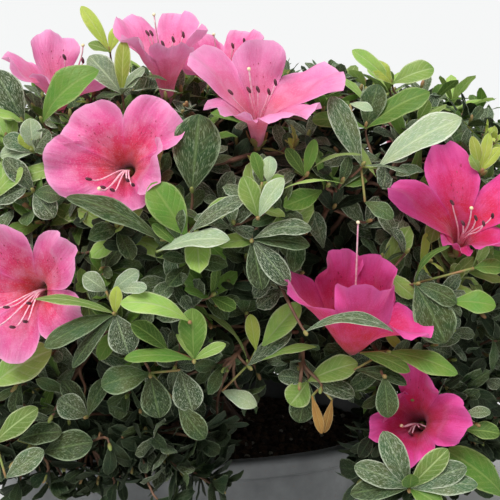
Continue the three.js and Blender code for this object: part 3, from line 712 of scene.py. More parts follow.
sprays = [
    spray((43, 122), -2, leaf((99, 70), 16, "mid", 8, 30, 0.16)),
    spray((24, 122), 0, leaf((-6, 70), 14, "dusk", 4, 25), leaf((-8, 112), 12, "light", 12, 50)),
    spray((34, 152), -1, leaf((30, 118), 9, "pale", face=10), leaf((49, 130), 8, "dusk", face=10),
          leaf((20, 133), 6, "fresh", face=10), leaf((60, 144), 9, "dark"), leaf((3, 138), 9, "dusk"),
          leaf((0, 156), 9, "pale")),
    spray((34, 192), -1, leaf((54, 218), 10, "dusk", face=10), leaf((4, 158), 9, "dusk"),
          leaf((26, 188), 9, "dusk", base=(-6, 206)), leaf((23, 168), 8, "light", base=(-8, 200)),
          leaf((62, 196), 9, "dark")),
    spray((122, 94), -8, leaf((89, 56), 11, "pale", 2, 20), leaf((124, 40), 7, "fresh", 3, 0),
          leaf((145, 68), 6, "pale", 6, 30), leaf((167, 81), 6, "dark", 8, 75, 0.2),
          leaf((180, 93), 7, "pale", 8, 75), leaf((96, 99), 8, "dark", 6, 60),
          leaf((129, 88), 6, "pale", 9, 60)),
    spray((110, 52), 14, leaf((81, 6), 7, "fresh", 0, 20), leaf((118, 26), 6, "fresh", 2, 10),
          leaf((88, 44), 6, "light", 4)),
    spray((192, 192), 2, leaf((199, 114), 19, "dark", 3, 0, 0.03)),
    spray((186, 240), -6, leaf((66, 197), 12, "dark", 7, 45, 0.1, base=(160, 240)),
          leaf((152, 224), 5, "mid", 2, base=(177, 246)),
          leaf((172, 203), 9, "dark", 3, 0, base=(178, 240)),
          leaf((151, 183), 14, "mid", 3, 15, base=(187, 236)),
          leaf((246, 198), 9, "dusk", 3, 45, base=(190, 232)),
          leaf((230, 240), 13, "pale", 9, 60, 0.08, base=(156, 252))),
    spray((194, 360), -10, leaf((192, 308), 11, "mid", 2, 5), leaf((124, 359), 9, "mid", 7, 55),
          leaf((131, 323), 8, "mid", 3, base=(168, 350)), leaf((226, 344), 5, "light", 3, 30),
          leaf((176, 334), 3, "light", 3)),
    spray((190, 322), -8, leaf((120, 303), 10, "light", 6, 40, 0.18)),
    spray((115, 314), -10, leaf((34, 299), 8, "light", 10, 60, 0.08), leaf((117, 286), 5, "fresh", face=0),
          leaf((83, 275), 8, "pale", face=20, base=(106, 291)),
          leaf((139, 271), 7, "pale", face=20, base=(112, 291)),
          leaf((147, 289), 6, "pale", 11, base=(119, 290)), leaf((44, 347), 9, "dark", 6),
          leaf((72, 368), 6, "dark", 4), leaf((129, 354), 12, "dusk", 2, 10)),
    spray((248, 366), -10, leaf((300, 303), 10, "light", 5, 20, base=(262, 347)),
          leaf((250, 314), 6, "fresh", 3, 10, base=(256, 350)),
          leaf((317, 347), 7, "light", 8, 60, base=(256, 362)),
          leaf((204, 313), 5, "light", 3, 75, 0.14, base=(247, 360)),
          leaf((257, 406), 8, "pale", 3, base=(222, 391)), leaf((292, 331), 8, "dusk", 0)),
    spray((308, 381), -156, leaf((358, 363), 11, "light", 5, 30), leaf((290, 405), 11, "light", 4, 0),
          leaf((355, 396), 9, "dusk", 4, 35), leaf((299, 423), 11, "dark", 0, 0),
          leaf((278, 376), 7, "dusk", 2)),
    spray((409, 488), -32, leaf((383, 431), 10, "dusk", 4, 10), leaf((354, 466), 10, "dusk", 6, 30),
          leaf((448, 449), 9, "light", 5, 20), leaf((467, 467), 10, "dusk", 5, 30),
          leaf((478, 485), 10, "dusk", 7, 40), leaf((411, 474), 7, "mid", 9, 20),
          leaf((350, 494), 9, "dark", 6), leaf((442, 507), 9, "mid", 8)),
    spray((384, 376), -26, leaf((388, 418), 9, "dark", 2, 10)),
    spray((321, 388), -30, leaf((322, 434), 4, "dry", 2, 0, base=(312, 396)),
          leaf((324, 433), 4, "dry", 1, 0, base=(332, 400))),
    spray((388, 352), -6, leaf((458, 374), 12, "mid", 7, 45),
          leaf((410, 372), 8, "mid", 8, 55, base=(360, 353)),
          leaf((407, 385), 8, "dark", 6, 50, base=(354, 370))),
    spray((305, 332), -24, leaf((394, 332), 8, "dusk", 4, 55, 0.2)),
    spray((415, 284), 0, leaf((446, 343), 17, "dark", 3, 10), leaf((457, 303), 9, "dark", 3),
          leaf((496, 306), 11, "mid", 4, base=(452, 302)), leaf((450, 246), 5, "mid", 3, 70, 0.2),
          leaf((503, 268), 8, "mid", 3, base=(474, 268))),
    spray((362, 166), -2, leaf((331, 96), 10, "dusk", 3, 15, 0.05),
          leaf((462, 118), 15, "pale", 9, 45, 0.06, base=(377, 168)), leaf((410, 174), 7, "dusk", 8, 75),
          leaf((393, 219), 8, "dark", 5, base=(365, 202)), leaf((373, 111), 5, "pale", 3, base=(350, 104))),
    spray((366, 128), 12, leaf((430, 92), 14, "mid", 6, 40), leaf((378, 84), 11, "dark", 3, 30),
          leaf((312, 120), 11, "mid", 3, 45)),
    spray((392, 84), 24, leaf((434, 68), 12, "light", 2, 30), leaf((372, 62), 9, "fresh", 2, 20),
          leaf((352, 50), 8, "light", 2, 20)),
    spray((258, 218), -6, leaf((344, 184), 7, "light", 9, 75, 0.16, base=(262, 207)),
          leaf((243, 176), 9, "light", 5, 40), leaf((284, 178), 8, "pale", 5, 40),
          leaf((253, 152), 5, "mid", 2, base=(262, 182)), leaf((270, 156), 6, "pale", 2, base=(268, 182))),
    spray((305, 176), -2, leaf((286, 148), 5, "mid", face=10), leaf((315, 139), 5, "mid", face=10),
          leaf((362, 155), 4, "light", 5, 70, 0.15)),
    spray((252, 240), -3, leaf((312, 229), 9, "dusk", 6, 50, 0.14), leaf((310, 246), 8, "dark", 4),
          leaf((289, 285), 9, "dusk", 3, 10), leaf((262, 290), 9, "dark", 2, 10)),
    spray((-8, 386), -26, leaf((52, 350), 17, "light", 12, 30)),
    spray((-6, 444), -12, leaf((38, 408), 10, "light", 5, 30),
          leaf((44, 450), 9, "dusk", 3, 20, base=(6, 478))),
    spray((30, 446), -8, leaf((62, 432), 11, "dark", 5, 40, base=(18, 440)),
          leaf((93, 442), 13, "dark", 6, 20, base=(44, 452))),
    spray((88, 416), -6, leaf((58, 399), 11, "dusk", 4, 10), leaf((106, 378), 7, "dark", 2),
          leaf((62, 380), 8, "dark", 2)),
    spray((150, 374), -5, leaf((101, 386), 12, "dark", 6, 30), leaf((160, 418), 12, "dark", 1, 0),
          leaf((193, 411), 12, "dusk", 1, 0, base=(180, 370)),
          leaf((205, 439), 9, "dark", 0, 0, base=(178, 404))),
    spray((476, 424), -30, leaf((491, 412), 5, "dusk", 4, base=(463, 415)),
          leaf((500, 434), 8, "mid", 4, base=(466, 430))),
    spray((506, 498), -8, leaf((445, 450), 14, "mid", 6, 30, 0.12)),
    spray((480, 172), 0, leaf((472, 136), 5, "fresh", face=0), leaf((489, 133), 5, "fresh", face=0),
          leaf((500, 147), 5, "fresh", face=10), leaf((470, 155), 5, "light", face=10)),
]


def crownDepth(spots):
    # how far along the view each picture point meets the envelope, or passes nearest to it
    far = np.linspace(300, 700, 401)
    fill = fullness(viewPlace + pictureRay(spots)[:, None] * far[None, :, None])
    return np.where((fill < 1).any(1), far[np.argmax(fill < 1, axis=1)], far[np.argmin(fill, axis=1)])


def handPlaced():
    # the stems' ends, the leaves' arrays and the short stalks between them
    stems = np.array([s["stem"] for s in sprays], float)
    depth = crownDepth(np.clip(stems, 0, 470)) + np.array([s["inset"] for s in sprays], float)
    ends = viewPlace + pictureRay(stems) * depth[:, None]
    owner = np.repeat(np.arange(len(sprays)), [len(s["leaves"]) for s in sprays])
    rows = [one for s in sprays for one in s["leaves"]]
    base = np.array([one["base"] or sprays[k]["stem"] for k, one in zip(owner, rows)], float)
    tip, wide, nearer, face, lift = [
        np.array([one[key] for one in rows], float) for key in ("tip", "wide", "nearer", "face", "lift")]
    face = np.radians(face)[:, None]
    number = 5000 + np.arange(len(rows))
    start = viewPlace + pictureRay(base) * (depth[owner] - 1)[:, None]
    leaves = {
        "base": start,
        "tip": viewPlace + pictureRay(tip) * (depth[owner] - nearer)[:, None],
        "face": -viewForward * np.cos(face) + viewUp * np.sin(face),
        "wide": wide,
        "lift": lift,
        "fold": drawn(0.15, 0.4, number, 51),
        "curl": drawn(0.1, 0.35, number, 52),
        "twist": drawn(-0.3, 0.3, number, 53),
        "shade": chance(number, 54),
        "tone": np.array([one["tone"] for one in rows]),
    }
    return ends, leaves, ends[owner], start


sprayEnds, handLeaves, stalkFrom, stalkTo = handPlaced()


# Shoots that fill the crown, in layers from its face inward

layers = [
    {"count": 470, "depth": 0.965, "spread": 0.03, "share": -0.7, "leaves": 6, "trait": 61},
    {"count": 420, "depth": 0.875, "spread": 0.04, "share": -0.76, "leaves": 6, "trait": 62},
    {"count": 300, "depth": 0.76, "spread": 0.05, "share": -0.8, "leaves": 6, "trait": 63},
    {"count": 200, "depth": 0.62, "spread": 0.06, "share": -0.8, "leaves": 6, "trait": 64},
    {"count": 110, "depth": 0.46, "spread": 0.06, "share": -0.75, "leaves": 5, "trait": 65},
]
tones = {
    "dark": {"share": 0.5, "long": (13, 19), "wide": 0.44},
    "dusk": {"share": 0.22, "long": (13, 18), "wide": 0.47},
    "mid": {"share": 0.13, "long": (15, 22), "wide": 0.43},
    "light": {"share": 0.1, "long": (16, 24), "wide": 0.42},
    "fresh": {"share": 0.05, "long": (9, 14), "wide": 0.36},
    # deep is the near-black tone of painted shade, dealt out by toneOf and not by share
    "deep": {"share": 0.0, "long": (13, 18), "wide": 0.44},
}
skirt = [
    # low shoots that hang at the crown's front corners, under its front and at its back
    {"count": 200, "across": (-106, -8), "deep": (-116, -62), "high": (62, 108)},
    {"count": 34, "across": (-12, 70), "deep": (-104, -60), "high": (104, 122)},
    {"count": 140, "across": (76, 150), "deep": (-112, -50), "high": (62, 108)},
    {"count": 110, "across": (-95, 125), "deep": (50, 112), "high": (72, 96)},
    {"count": 100, "across": (98, 160), "deep": (-88, 10), "high": (97, 140)},
    {"count": 90, "across": (-84, 22), "deep": (-45, 20), "high": (84, 106)},
    {"count": 30, "across": (72, 124), "deep": (-110, -92), "high": (62, 84)},
    {"count": 26, "across": (-14, 16), "deep": (-112, -92), "high": (64, 88)},
]


def fillingShoots():
    # the spots, ways, numbers, layers and counts of leaves of the filling shoots
    groups = []
    for place, part in enumerate(skirt):
        steps = np.arange(part["count"]) + 0.5
        number = 7000 + 200 * place + np.arange(part["count"])
        spot = np.stack([
            mixed(*part["across"], (steps * 0.7549) % 1),
            mixed(*part["deep"], (steps * 0.5698) % 1),
            drawn(*part["high"], number, 66)], -1)
        inPlan = np.linalg.norm((spot - crown["middle"])[:, :2] / crown["skirtHalf"], axis=1) < 1
        fits = inPlan & ((overPot(spot) > 1.02) | (spot[:, 2] > 84))
        spot, number = spot[fits], number[fits]
        groups.append((spot, unit(leaningOut(spot, number) + [0, 0, -0.35]), number, 1, 6))
    for place, layer in enumerate(layers):
        i = np.arange(layer["count"])
        number = 1000 * (place + 1) + i
        up = mixed(1, layer["share"], ((i + 0.5) / layer["count"]) ** 1.05)
        way = wayOnCrown(up, i * golden + layer["trait"] + drawn(-0.12, 0.12, number, 60))
        deep = layer["depth"] + layer["spread"] * drawn(-1, 1, number, layer["trait"])
        spot = crown["middle"] + way * (reachOf(crown["middle"], way) * deep)[:, None]
        groups.append((spot, leaningOut(spot, number), number, place, layer["leaves"]))
    number = 900 + np.arange(len(leafShootSpots))
    groups.append((leafShootSpots, leaningOut(leafShootSpots, number), number, 0, 7))
    full = [(*group[:3], *(np.full(len(group[0]), value) for value in group[3:])) for group in groups]
    return [np.concatenate(column) for column in zip(*full)]


fill = fillingShoots()
limbGap = np.linalg.norm(fill[0][:, None] - limbSpots[None], axis=2).min(1)
keep = (limbGap >= 13) & (fill[0][:, 2] > crown["lowest"]["beside"] + 2)
fillSpot, fillFacing, fillNumber, fillLayer, fillCount = [part[keep] for part in fill]


def toneOf(number, layer, spot):
    # the tone of a whole spray: lighter ones are for the face of the crown, most of all its top, as painted
    # light; darker ones and the near-black deep one go low down and inside it as painted shade
    draw = chance(number, 70)
    # high lightens the tones near the top as painted light, low darkens them low down as painted shade
    high = smooth(165, 215, spot[:, 2])
    low = 1 - smooth(80, 135, spot[:, 2])
    outer = draw ** mixed(0.92, 0.42, high) * mixed(1.0, 0.7, low)
    # the inner layers draw darker tones, as painted shade
    draw = np.where(layer == 0, outer, np.where(layer == 1, outer * 0.8, draw * 0.45))
    names = [name for name in tones if tones[name]["share"] > 0]
    edges = np.cumsum([tones[name]["share"] for name in names])
    tone = np.array(names)[np.minimum(np.searchsorted(edges, draw), len(names) - 1)]
    # the near-black deep tone, painted shade, goes to most dark sprays low down and to fewer higher up
    deep = (tone == "dark") & (chance(number, 69) < mixed(0.3, 0.95, low))
    return np.where(deep, "deep", tone)


def fillingLeaves():
    # leaves round each shoot by the golden angle, flatter and larger the lower they sit on it
    most = fillCount.max()
    slot = np.arange(most)[None]
    used = (slot < fillCount[:, None]).ravel()
    number = (fillNumber[:, None] * 16 + slot).ravel()[used]
    owner = np.repeat(np.arange(len(fillSpot)), most)[used]
    place = np.tile(np.arange(most), len(fillSpot))[used]
    tone = toneOf(fillNumber, fillLayer, fillSpot)[owner]
    size = np.array([tones[name]["long"] for name in tone], float)
    ratio = np.array([tones[name]["wide"] for name in tone])
    share = place / (fillCount[owner] - 1)
    long = drawn(size[:, 0], size[:, 1], number, 71) * mixed(1.08, 0.72, share)
    turn = place * golden + wholeTurn * chance(fillNumber[owner], 72) + drawn(-0.25, 0.25, number, 73)
    rise = mixed(0.12, 0.95, share) + drawn(-0.28, 0.28, number, 74)
    axis = fillFacing[owner]
    first = unit(np.cross(steadyFor(axis, 0.8), axis))
    second = np.cross(axis, first)
    out = first * np.cos(turn)[:, None] + second * np.sin(turn)[:, None]
    way = out * np.cos(rise)[:, None] + axis * np.sin(rise)[:, None]
    base = fillSpot[owner] - axis * (mixed(5.5, 0.3, share))[:, None]
    face = axis * np.cos(rise)[:, None] - out * np.sin(rise)[:, None]
    roll = drawn(-0.5, 0.5, number, 75)[:, None]
    face = unit(face + np.cross(way, face) * roll + np.array([0, 0, 0.25]))
    return {
        "base": base,
        "tip": base + way * long[:, None],
        "face": face,
        "wide": long * ratio * drawn(0.88, 1.12, number, 76),
        "lift": drawn(0.0, 0.14, number, 77),
        "fold": drawn(0.1, 0.5, number, 78),
        "curl": drawn(0.1, 0.4, number, 79),
        "twist": drawn(-0.4, 0.4, number, 80),
        "shade": chance(number, 81),
        "tone": tone,
        "layer": fillLayer[owner],
        "owner": owner,
    }


def picked(leaves, keep):
    return {key: value[keep] for key, value in leaves.items()}


def byBloom(key, value):
    # a value for each bloom: its own where it is named, or else the usual one
    rows = [b.get(key, value) for b in namedBlooms]
    return np.array(rows + [value] * (bloomCount - len(rows)), float)


def rimOf():
    # the radius and the height of each bloom's rim
    lean = np.radians(mixed(*shootRule["lean"], blooms["open"]))
    petal = blooms["size"] * shootRule["lobeShare"]
    return 5.5 + petal * np.sin(lean), 15 + petal * np.cos(lean)


def clearOfBlooms(leaves):
    # false for leaves inside a funnel, in front of its mouth, or between the camera and a named bloom
    rim, rimHeight = rimOf()
    named = len(namedBlooms)
    centre = (blooms["base"] + blooms["facing"] * rimHeight[:, None] * 0.8)[:named]
    line = centre - viewPlace
    length = np.linalg.norm(line, axis=1)
    line = line / length[:, None]
    foot = mixed(3.0, 16.0, byBloom("bowl", 0))
    good = np.ones(len(leaves["base"]), bool)
    for share in (0.0, 0.25, 0.5, 0.75, 1.0):
        point = mixed(leaves["base"], leaves["tip"], share)
        away = point[:, None] - blooms["base"][None]
        high = np.sum(away * blooms["facing"][None], axis=2)
        out = np.linalg.norm(away - high[..., None] * blooms["facing"][None], axis=2)
        mouth = mixed(foot, rim, np.clip((high - 8) / (rimHeight - 8), 0, 1)) + 2.5
        good &= ~((high > -1) & (high < rimHeight + 30) & (out < mouth)).any(1)
        run = (point - viewPlace) @ line.T
        off = np.linalg.norm((point - viewPlace)[:, None] - run[..., None] * line[None], axis=2)
        good &= ~((run < length - 6) & (off < rim[:named] * 0.82)).any(1)
    return good


def clearOfSprays(leaves):
    # false for leaves that hide a listed leaf from the front
    shares = (0.15, 0.4, 0.65, 0.9)
    marks = np.concatenate([mixed(handLeaves["base"], handLeaves["tip"], s) for s in shares])
    wide = np.tile(handLeaves["wide"], len(shares)) * 0.5 + 2.0
    line = marks - viewPlace
    length = np.linalg.norm(line, axis=1)
    line = line / length[:, None]
    good = np.ones(len(leaves["base"]), bool)
    for share in (0.1, 0.5, 0.95):
        point = mixed(leaves["base"], leaves["tip"], share) - viewPlace
        run = point @ line.T
        off = np.sqrt(np.maximum(np.sum(point * point, axis=1)[:, None] - run ** 2, 0))
        good &= ~((run < length + 2) & (run > length - 60) & (off < wide)).any(1)
    return good


fillLeaves = fillingLeaves()
goodLeaves = clearOfBlooms(fillLeaves) & clearOfSprays(fillLeaves)
lowTip = np.minimum(fillLeaves["base"][:, 2], fillLeaves["tip"][:, 2])
lowest = crown["lowest"]
goodLeaves &= lowTip > np.where(overPot(fillLeaves["tip"]) < 1.08, lowest["overPot"], lowest["beside"])
fillLeaves = picked(fillLeaves, goodLeaves)
leafy = np.bincount(fillLeaves["owner"], minlength=len(fillSpot)) > 1
print("leaves:", len(fillLeaves["base"]), "and", len(handLeaves["base"]), "placed by hand")


# Leaves

leafLooks = {
    # deep: a near-black green, painted shade for leaves low down and inside the crown
    "deep": {"base": (0.007, 0.021, 0.007), "warm": (0.017, 0.023, 0.007), "rib": (0.04, 0.066, 0.025),
             "bristle": (0.105, 0.14, 0.08), "bristles": 0.4, "rough": 0.55, "sheen": 0.02, "through": 0.08},
    "dark": {"base": (0.024, 0.06, 0.015), "warm": (0.048, 0.062, 0.015), "rib": (0.11, 0.17, 0.055),
             "bristle": (0.28, 0.35, 0.21), "bristles": 0.55, "rough": 0.55, "sheen": 0.04, "through": 0.1},
    "dusk": {"base": (0.04, 0.084, 0.034), "warm": (0.07, 0.088, 0.032), "rib": (0.2, 0.27, 0.13),
             "bristle": (0.52, 0.58, 0.43), "bristles": 0.75, "rough": 0.55, "sheen": 0.1, "through": 0.12},
    "mid": {"base": (0.08, 0.195, 0.026), "warm": (0.115, 0.205, 0.03), "rib": (0.23, 0.34, 0.08),
            "bristle": (0.33, 0.43, 0.15), "bristles": 0.26, "rough": 0.45, "sheen": 0.05, "through": 0.22},
    "light": {"base": (0.22, 0.385, 0.075), "warm": (0.31, 0.44, 0.095), "rib": (0.48, 0.61, 0.25),
              "bristle": (0.62, 0.7, 0.38), "bristles": 0.2, "rough": 0.45, "sheen": 0.05, "through": 0.3},
    "fresh": {"base": (0.4, 0.53, 0.07), "warm": (0.48, 0.55, 0.095), "rib": (0.6, 0.69, 0.23),
              "bristle": (0.7, 0.74, 0.4), "bristles": 0.16, "rough": 0.45, "sheen": 0.05, "through": 0.34},
    "pale": {"base": (0.27, 0.375, 0.22), "warm": (0.33, 0.41, 0.215), "rib": (0.5, 0.6, 0.35),
             "bristle": (0.74, 0.79, 0.64), "bristles": 0.5, "rough": 0.5, "sheen": 0.12, "through": 0.16},
    "dry": {"base": (0.33, 0.16, 0.04), "warm": (0.44, 0.24, 0.06), "rib": (0.48, 0.33, 0.11),
            "bristle": (0.5, 0.38, 0.18), "bristles": 0.2, "rough": 0.6, "sheen": 0.0, "through": 0.2},
}


def leafFinish(name, look):
    # a base colour that varies by leaf, with a paler rib, faint side veins, bristles and a bristly rim
    material, tree, place = newFinish("leaf_" + name)
    along, across, off, shade = sheetPlace(tree)
    patch = noiseOf(tree, place, 130, 3)
    strip = put(tree, "CombineXYZ", {
        0: plus(tree, times(tree, along, 17.0), times(tree, shade, 41.0)),
        1: times(tree, across, 52.0),
        2: times(tree, shade, 17.0)}).outputs[0]
    hair = noiseOf(tree, strip, 1.0, 2, 0.6)
    bristle = ranged(tree, hair, 0.54, 0.63)
    slant = less(tree, times(tree, along, 46.0), times(tree, off, 13.0))
    vein = times(tree, ranged(tree, sums(tree, "SINE", slant), 0.55, 1.0), ranged(tree, off, 0.06, 0.2))
    rib = ranged(tree, off, 0.11, 0.03)
    edge = plus(tree, off, times(tree, less(tree, hair, 0.5), 0.5))
    colour = colourMix(tree, ranged(tree, patch, 0.35, 0.65), look["base"], look["warm"])
    colour = valued(tree, colour, ranged(tree, shade, 0.0, 1.0, 0.6, 1.45))
    colour = colourMix(tree, times(tree, vein, 0.28), colour, look["rib"])
    colour = colourMix(tree, times(tree, rib, 0.75), colour, look["rib"])
    colour = colourMix(tree, times(tree, bristle, look["bristles"]), colour, look["bristle"])
    colour = colourMix(tree, ranged(tree, edge, 0.85, 0.96, 0.0, 0.85), colour, look["bristle"])
    height = less(tree, times(tree, bristle, 0.35), times(tree, rib, 0.8))
    height = less(tree, height, times(tree, vein, 0.35))
    closeFinish(tree, colour, look["rough"], (0.6, 0.0004, height), look["through"], {
        "Specular IOR Level": 0.25, "Sheen Weight": look["sheen"], "Sheen Roughness": 0.4})
    return material


leafForm = {"grows": 1.1, "narrows": 0.66, "widest": 0.625, "stalk": 0.45, "stalkLong": 0.05, "wave": 0.1}


def leafSheets(leaves, rows, cols):
    # base + chord u, lifted by 4u(1-u); half width u^grows (1-u)^narrows over its peak, which is at
    # widest = grows / (grows + narrows); a fold, and edges that curl
    step = np.linspace(0, 1, rows)
    u = mixed(step, 0.5 - 0.5 * np.cos(math.pi * step), 0.6)[None, :, None]
    v = np.linspace(-1, 1, cols)[None, None, :]
    chord = leaves["tip"] - leaves["base"]
    long = np.linalg.norm(chord, axis=1)
    along = chord / long[:, None]
    up = unit(leaves["face"] - along * dot(leaves["face"], along))
    side = np.cross(up, along)

    def spread(values):
        return values[:, None, None]

    grows, narrows, widest = leafForm["grows"], leafForm["narrows"], leafForm["widest"]
    peak = widest ** grows * (1 - widest) ** narrows
    half = spread(leaves["wide"] / 2) * u ** grows * np.maximum(1 - u, 0) ** narrows / peak
    half = half + leafForm["stalk"] * np.exp(-u / leafForm["stalkLong"])
    turn = spread(leaves["twist"]) * (u - 0.3)
    wave = leafForm["wave"] * np.sin(12 * u + wholeTurn * spread(leaves["shade"]) + 1.5 * np.sign(v))
    high = half * (spread(leaves["fold"]) * np.abs(v) - spread(leaves["curl"]) * v ** 2 + wave * v ** 2)
    arch = spread(long * leaves["lift"]) * 4 * u * (1 - u)
    out = v * half
    across = side[:, None, None] * (out * np.cos(turn) - high * np.sin(turn))[..., None]
    above = up[:, None, None] * (out * np.sin(turn) + high * np.cos(turn) + arch)[..., None]
    middle = leaves["base"][:, None, None] + (along * long[:, None])[:, None, None] * u[..., None]
    points = middle + across + above
    uv = np.stack(np.broadcast_arrays(u, (v + 1) / 2, points[..., 0])[:2], -1)
    shade = np.broadcast_to(spread(leaves["shade"]), points.shape[:3])
    quads = gridQuads(len(long), rows, cols, flip=True)
    return points.reshape(-1, 3), quads, uv.reshape(-1, 2), shade.ravel()


finishes = {name: leafFinish(name, look) for name, look in leafLooks.items()}


def joinLeaves(name, tone, sets):
    # one piece from several sets of leaves, each with its own rows and cols
    parts, before = [], 0
    for leaves, rows, cols in sets:
        if len(leaves["base"]):
            points, quads, uv, shade = leafSheets(leaves, rows, cols)
            parts.append((points, quads + before, uv, shade))
            before += len(points)
    onFoliage(name, "leaves", finishes[tone], *[np.concatenate(column) for column in zip(*parts)])


# the dark leaves of the inner layers take the deep finish, as painted shade
inner = (fillLeaves["layer"] > 1) & np.isin(fillLeaves["tone"], ["dark", "deep"])
for tone in leafLooks:
    front = picked(fillLeaves, ~inner & (fillLeaves["tone"] == tone))
    placed = picked(handLeaves, handLeaves["tone"] == tone)
    joinLeaves("leaves_" + tone, tone, [(front, 7, 5), (placed, 17, 9)])
joinLeaves("leaves_inner_shade_painted", "deep", [(picked(fillLeaves, inner), 6, 3)])
print("leaves done")


# Twigs and stalks

def nearestTwig(ends, facings):
    # a finer twig for each end, from the nearest place on a source twig that lies deeper in the crown
    places = twigPaths[:, 4:14].reshape(-1, 3)
    ways = unit(np.gradient(twigPaths, axis=1))[:, 4:14].reshape(-1, 3)
    depth = np.linalg.norm((places - crown["middle"]) / crownHalf, axis=1)
    own = np.linalg.norm((ends - crown["middle"]) / crownHalf, axis=1)
    gap = np.linalg.norm(ends[:, None] - places[None], axis=2)
    gap = np.where(depth[None] > own[:, None] - 0.06, gap + 400, gap)
    best = np.argmin(gap, axis=1)
    span = np.linalg.norm(ends - places[best], axis=1)[:, None]
    second = places[best] + ways[best] * span * 0.35
    third = ends - facings * span * 0.35
    return bezier(places[best], second, third, ends, 8)


twigLooks = {
    "old": {"base": (0.11, 0.05, 0.03), "other": (0.22, 0.12, 0.07)},
    "young": {"base": (0.2, 0.26, 0.06), "other": (0.3, 0.16, 0.07)},
}


def twigFinish(name, look):
    # brown or green bark that changes in patches, with a fine grain
    material, tree, place = newFinish("twig_" + name)
    colour = rampOf(tree, noiseOf(tree, place, 160, 4), [(0.4, look["base"]), (0.62, look["other"])])
    closeFinish(tree, colour, 0.65, (0.5, 0.0003, noiseOf(tree, place, 1400, 3)))
    return material


old = twigFinish("old", twigLooks["old"])
young = twigFinish("young", twigLooks["young"])
onFoliage("twigs", "bark", old, *tubesAlong(twigPaths, twigRadii, 7))
fineEnds = np.concatenate([fillSpot[leafy], sprayEnds])
sprayFacing = unit(outwardOf(sprayEnds) + [0, -0.6, 0.4])
finePaths = nearestTwig(fineEnds, np.concatenate([fillFacing[leafy], sprayFacing]))
fineRadii = mixed(0.95, 0.45, np.linspace(0, 1, 8))[None] * np.ones((len(finePaths), 1))
onFoliage("twigs_fine", "bark", old, *tubesAlong(finePaths, fineRadii, 5))
apart = np.linalg.norm(stalkTo - stalkFrom, axis=1) > 1.5
middle = mixed(stalkFrom, stalkTo, 0.5) + viewForward * 1.5
stalkPaths = bezier(stalkFrom[apart] + viewForward * 4, middle[apart], middle[apart], stalkTo[apart], 7)
stalkRadii = np.full(stalkPaths.shape[:2], 0.5)
onFoliage("leaf_stalks", "leaves", young, *tubesAlong(stalkPaths, stalkRadii, 6))
budEnds = np.concatenate([fineEnds, twigPaths[bloomCount:, -1]])
budWays = np.concatenate([endWay(finePaths), endWay(twigPaths[bloomCount:])])
onFoliage("leaf_buds", "leaves", young, *blobs(budEnds + budWays * 1.2, budWays, 2.2, 0.95, rows=5))
print("twigs done")


# Blooms

bloomShape = {
    "tube": 15.0,
    "throat": 1.9,
    "fused": 0.7,
    "lobeWide": 15.5,
    "ruffle": 1.5,
    "flareFrom": 0.38,
    "lobeFrom": 0.68,
    "steps": 80,
    "rows": 17,
    "cols": 22,
}
bloomUp = np.array([0.0, 0.0, 1.0]) - blooms["facing"] * blooms["facing"][:, 2:]
bloomBack = np.array([0.0, 1.0, 0.0]) - blooms["facing"] * blooms["facing"][:, 1:2]
steep = np.linalg.norm(bloomUp, axis=1, keepdims=True) < 0.35
bloomUp = unit(np.where(steep, bloomBack, bloomUp))
bloomSide = np.cross(blooms["facing"], bloomUp)
lobeNumber = blooms["number"][:, None] * 5 + np.arange(5)[None]


def listed(key, value):
    # a value for each lobe of each bloom, from the named ones' lists
    rows = [b.get(key, (value,) * 5) for b in namedBlooms]
    return np.concatenate([np.array(rows, float), np.full((bloomCount - len(rows), 5), value)])


def lobeProfiles():
    # radius and height along each lobe's midline, summed up from its changing slope
    steps = bloomShape["steps"]
    s = np.linspace(0, 1, steps + 1)[None, None]
    opening = blooms["open"][:, None] + listed("opens", 0.0) + drawn(-0.1, 0.1, lobeNumber, 91)
    lean = mixed(*shootRule["lean"], opening)[..., None]
    curl = drawn(5, 50, lobeNumber, 92)[..., None] * np.clip(opening, 0.1, 1)[..., None]
    slope = 12 + (lean - 12) * smooth(0.14, 0.52, s) + curl * smooth(0.68, 1.0, s)
    slope = slope + byBloom("bowl", 0)[:, None, None] * 58 * (1 - smooth(0.05, 0.45, s))
    long = listed("lengths", 1.0) * drawn(0.95, 1.06, lobeNumber, 93)
    lobe = blooms["size"] * shootRule["lobeShare"]
    long = (bloomShape["tube"] + lobe)[:, None, None] * long[..., None]
    bend = np.radians(slope)
    radius = bloomShape["throat"] + np.cumsum(np.sin(bend) * long / steps, axis=2)
    height = np.cumsum(np.cos(bend) * long / steps, axis=2)
    return radius, height, bend


profiles = lobeProfiles()


def profileAt(u, turn=0):
    # the radius, height and slope at a share of the length of each lobe, or of its neighbour
    place = np.clip(u, 0, 1) * bloomShape["steps"]
    low = np.clip(np.floor(place).astype(int), 0, bloomShape["steps"] - 1)
    around = [np.roll(p, turn, axis=1) for p in profiles]
    pairs = [(np.take_along_axis(p, low, 2), np.take_along_axis(p, low + 1, 2)) for p in around]
    return [mixed(under, over, place - low) for under, over in pairs]


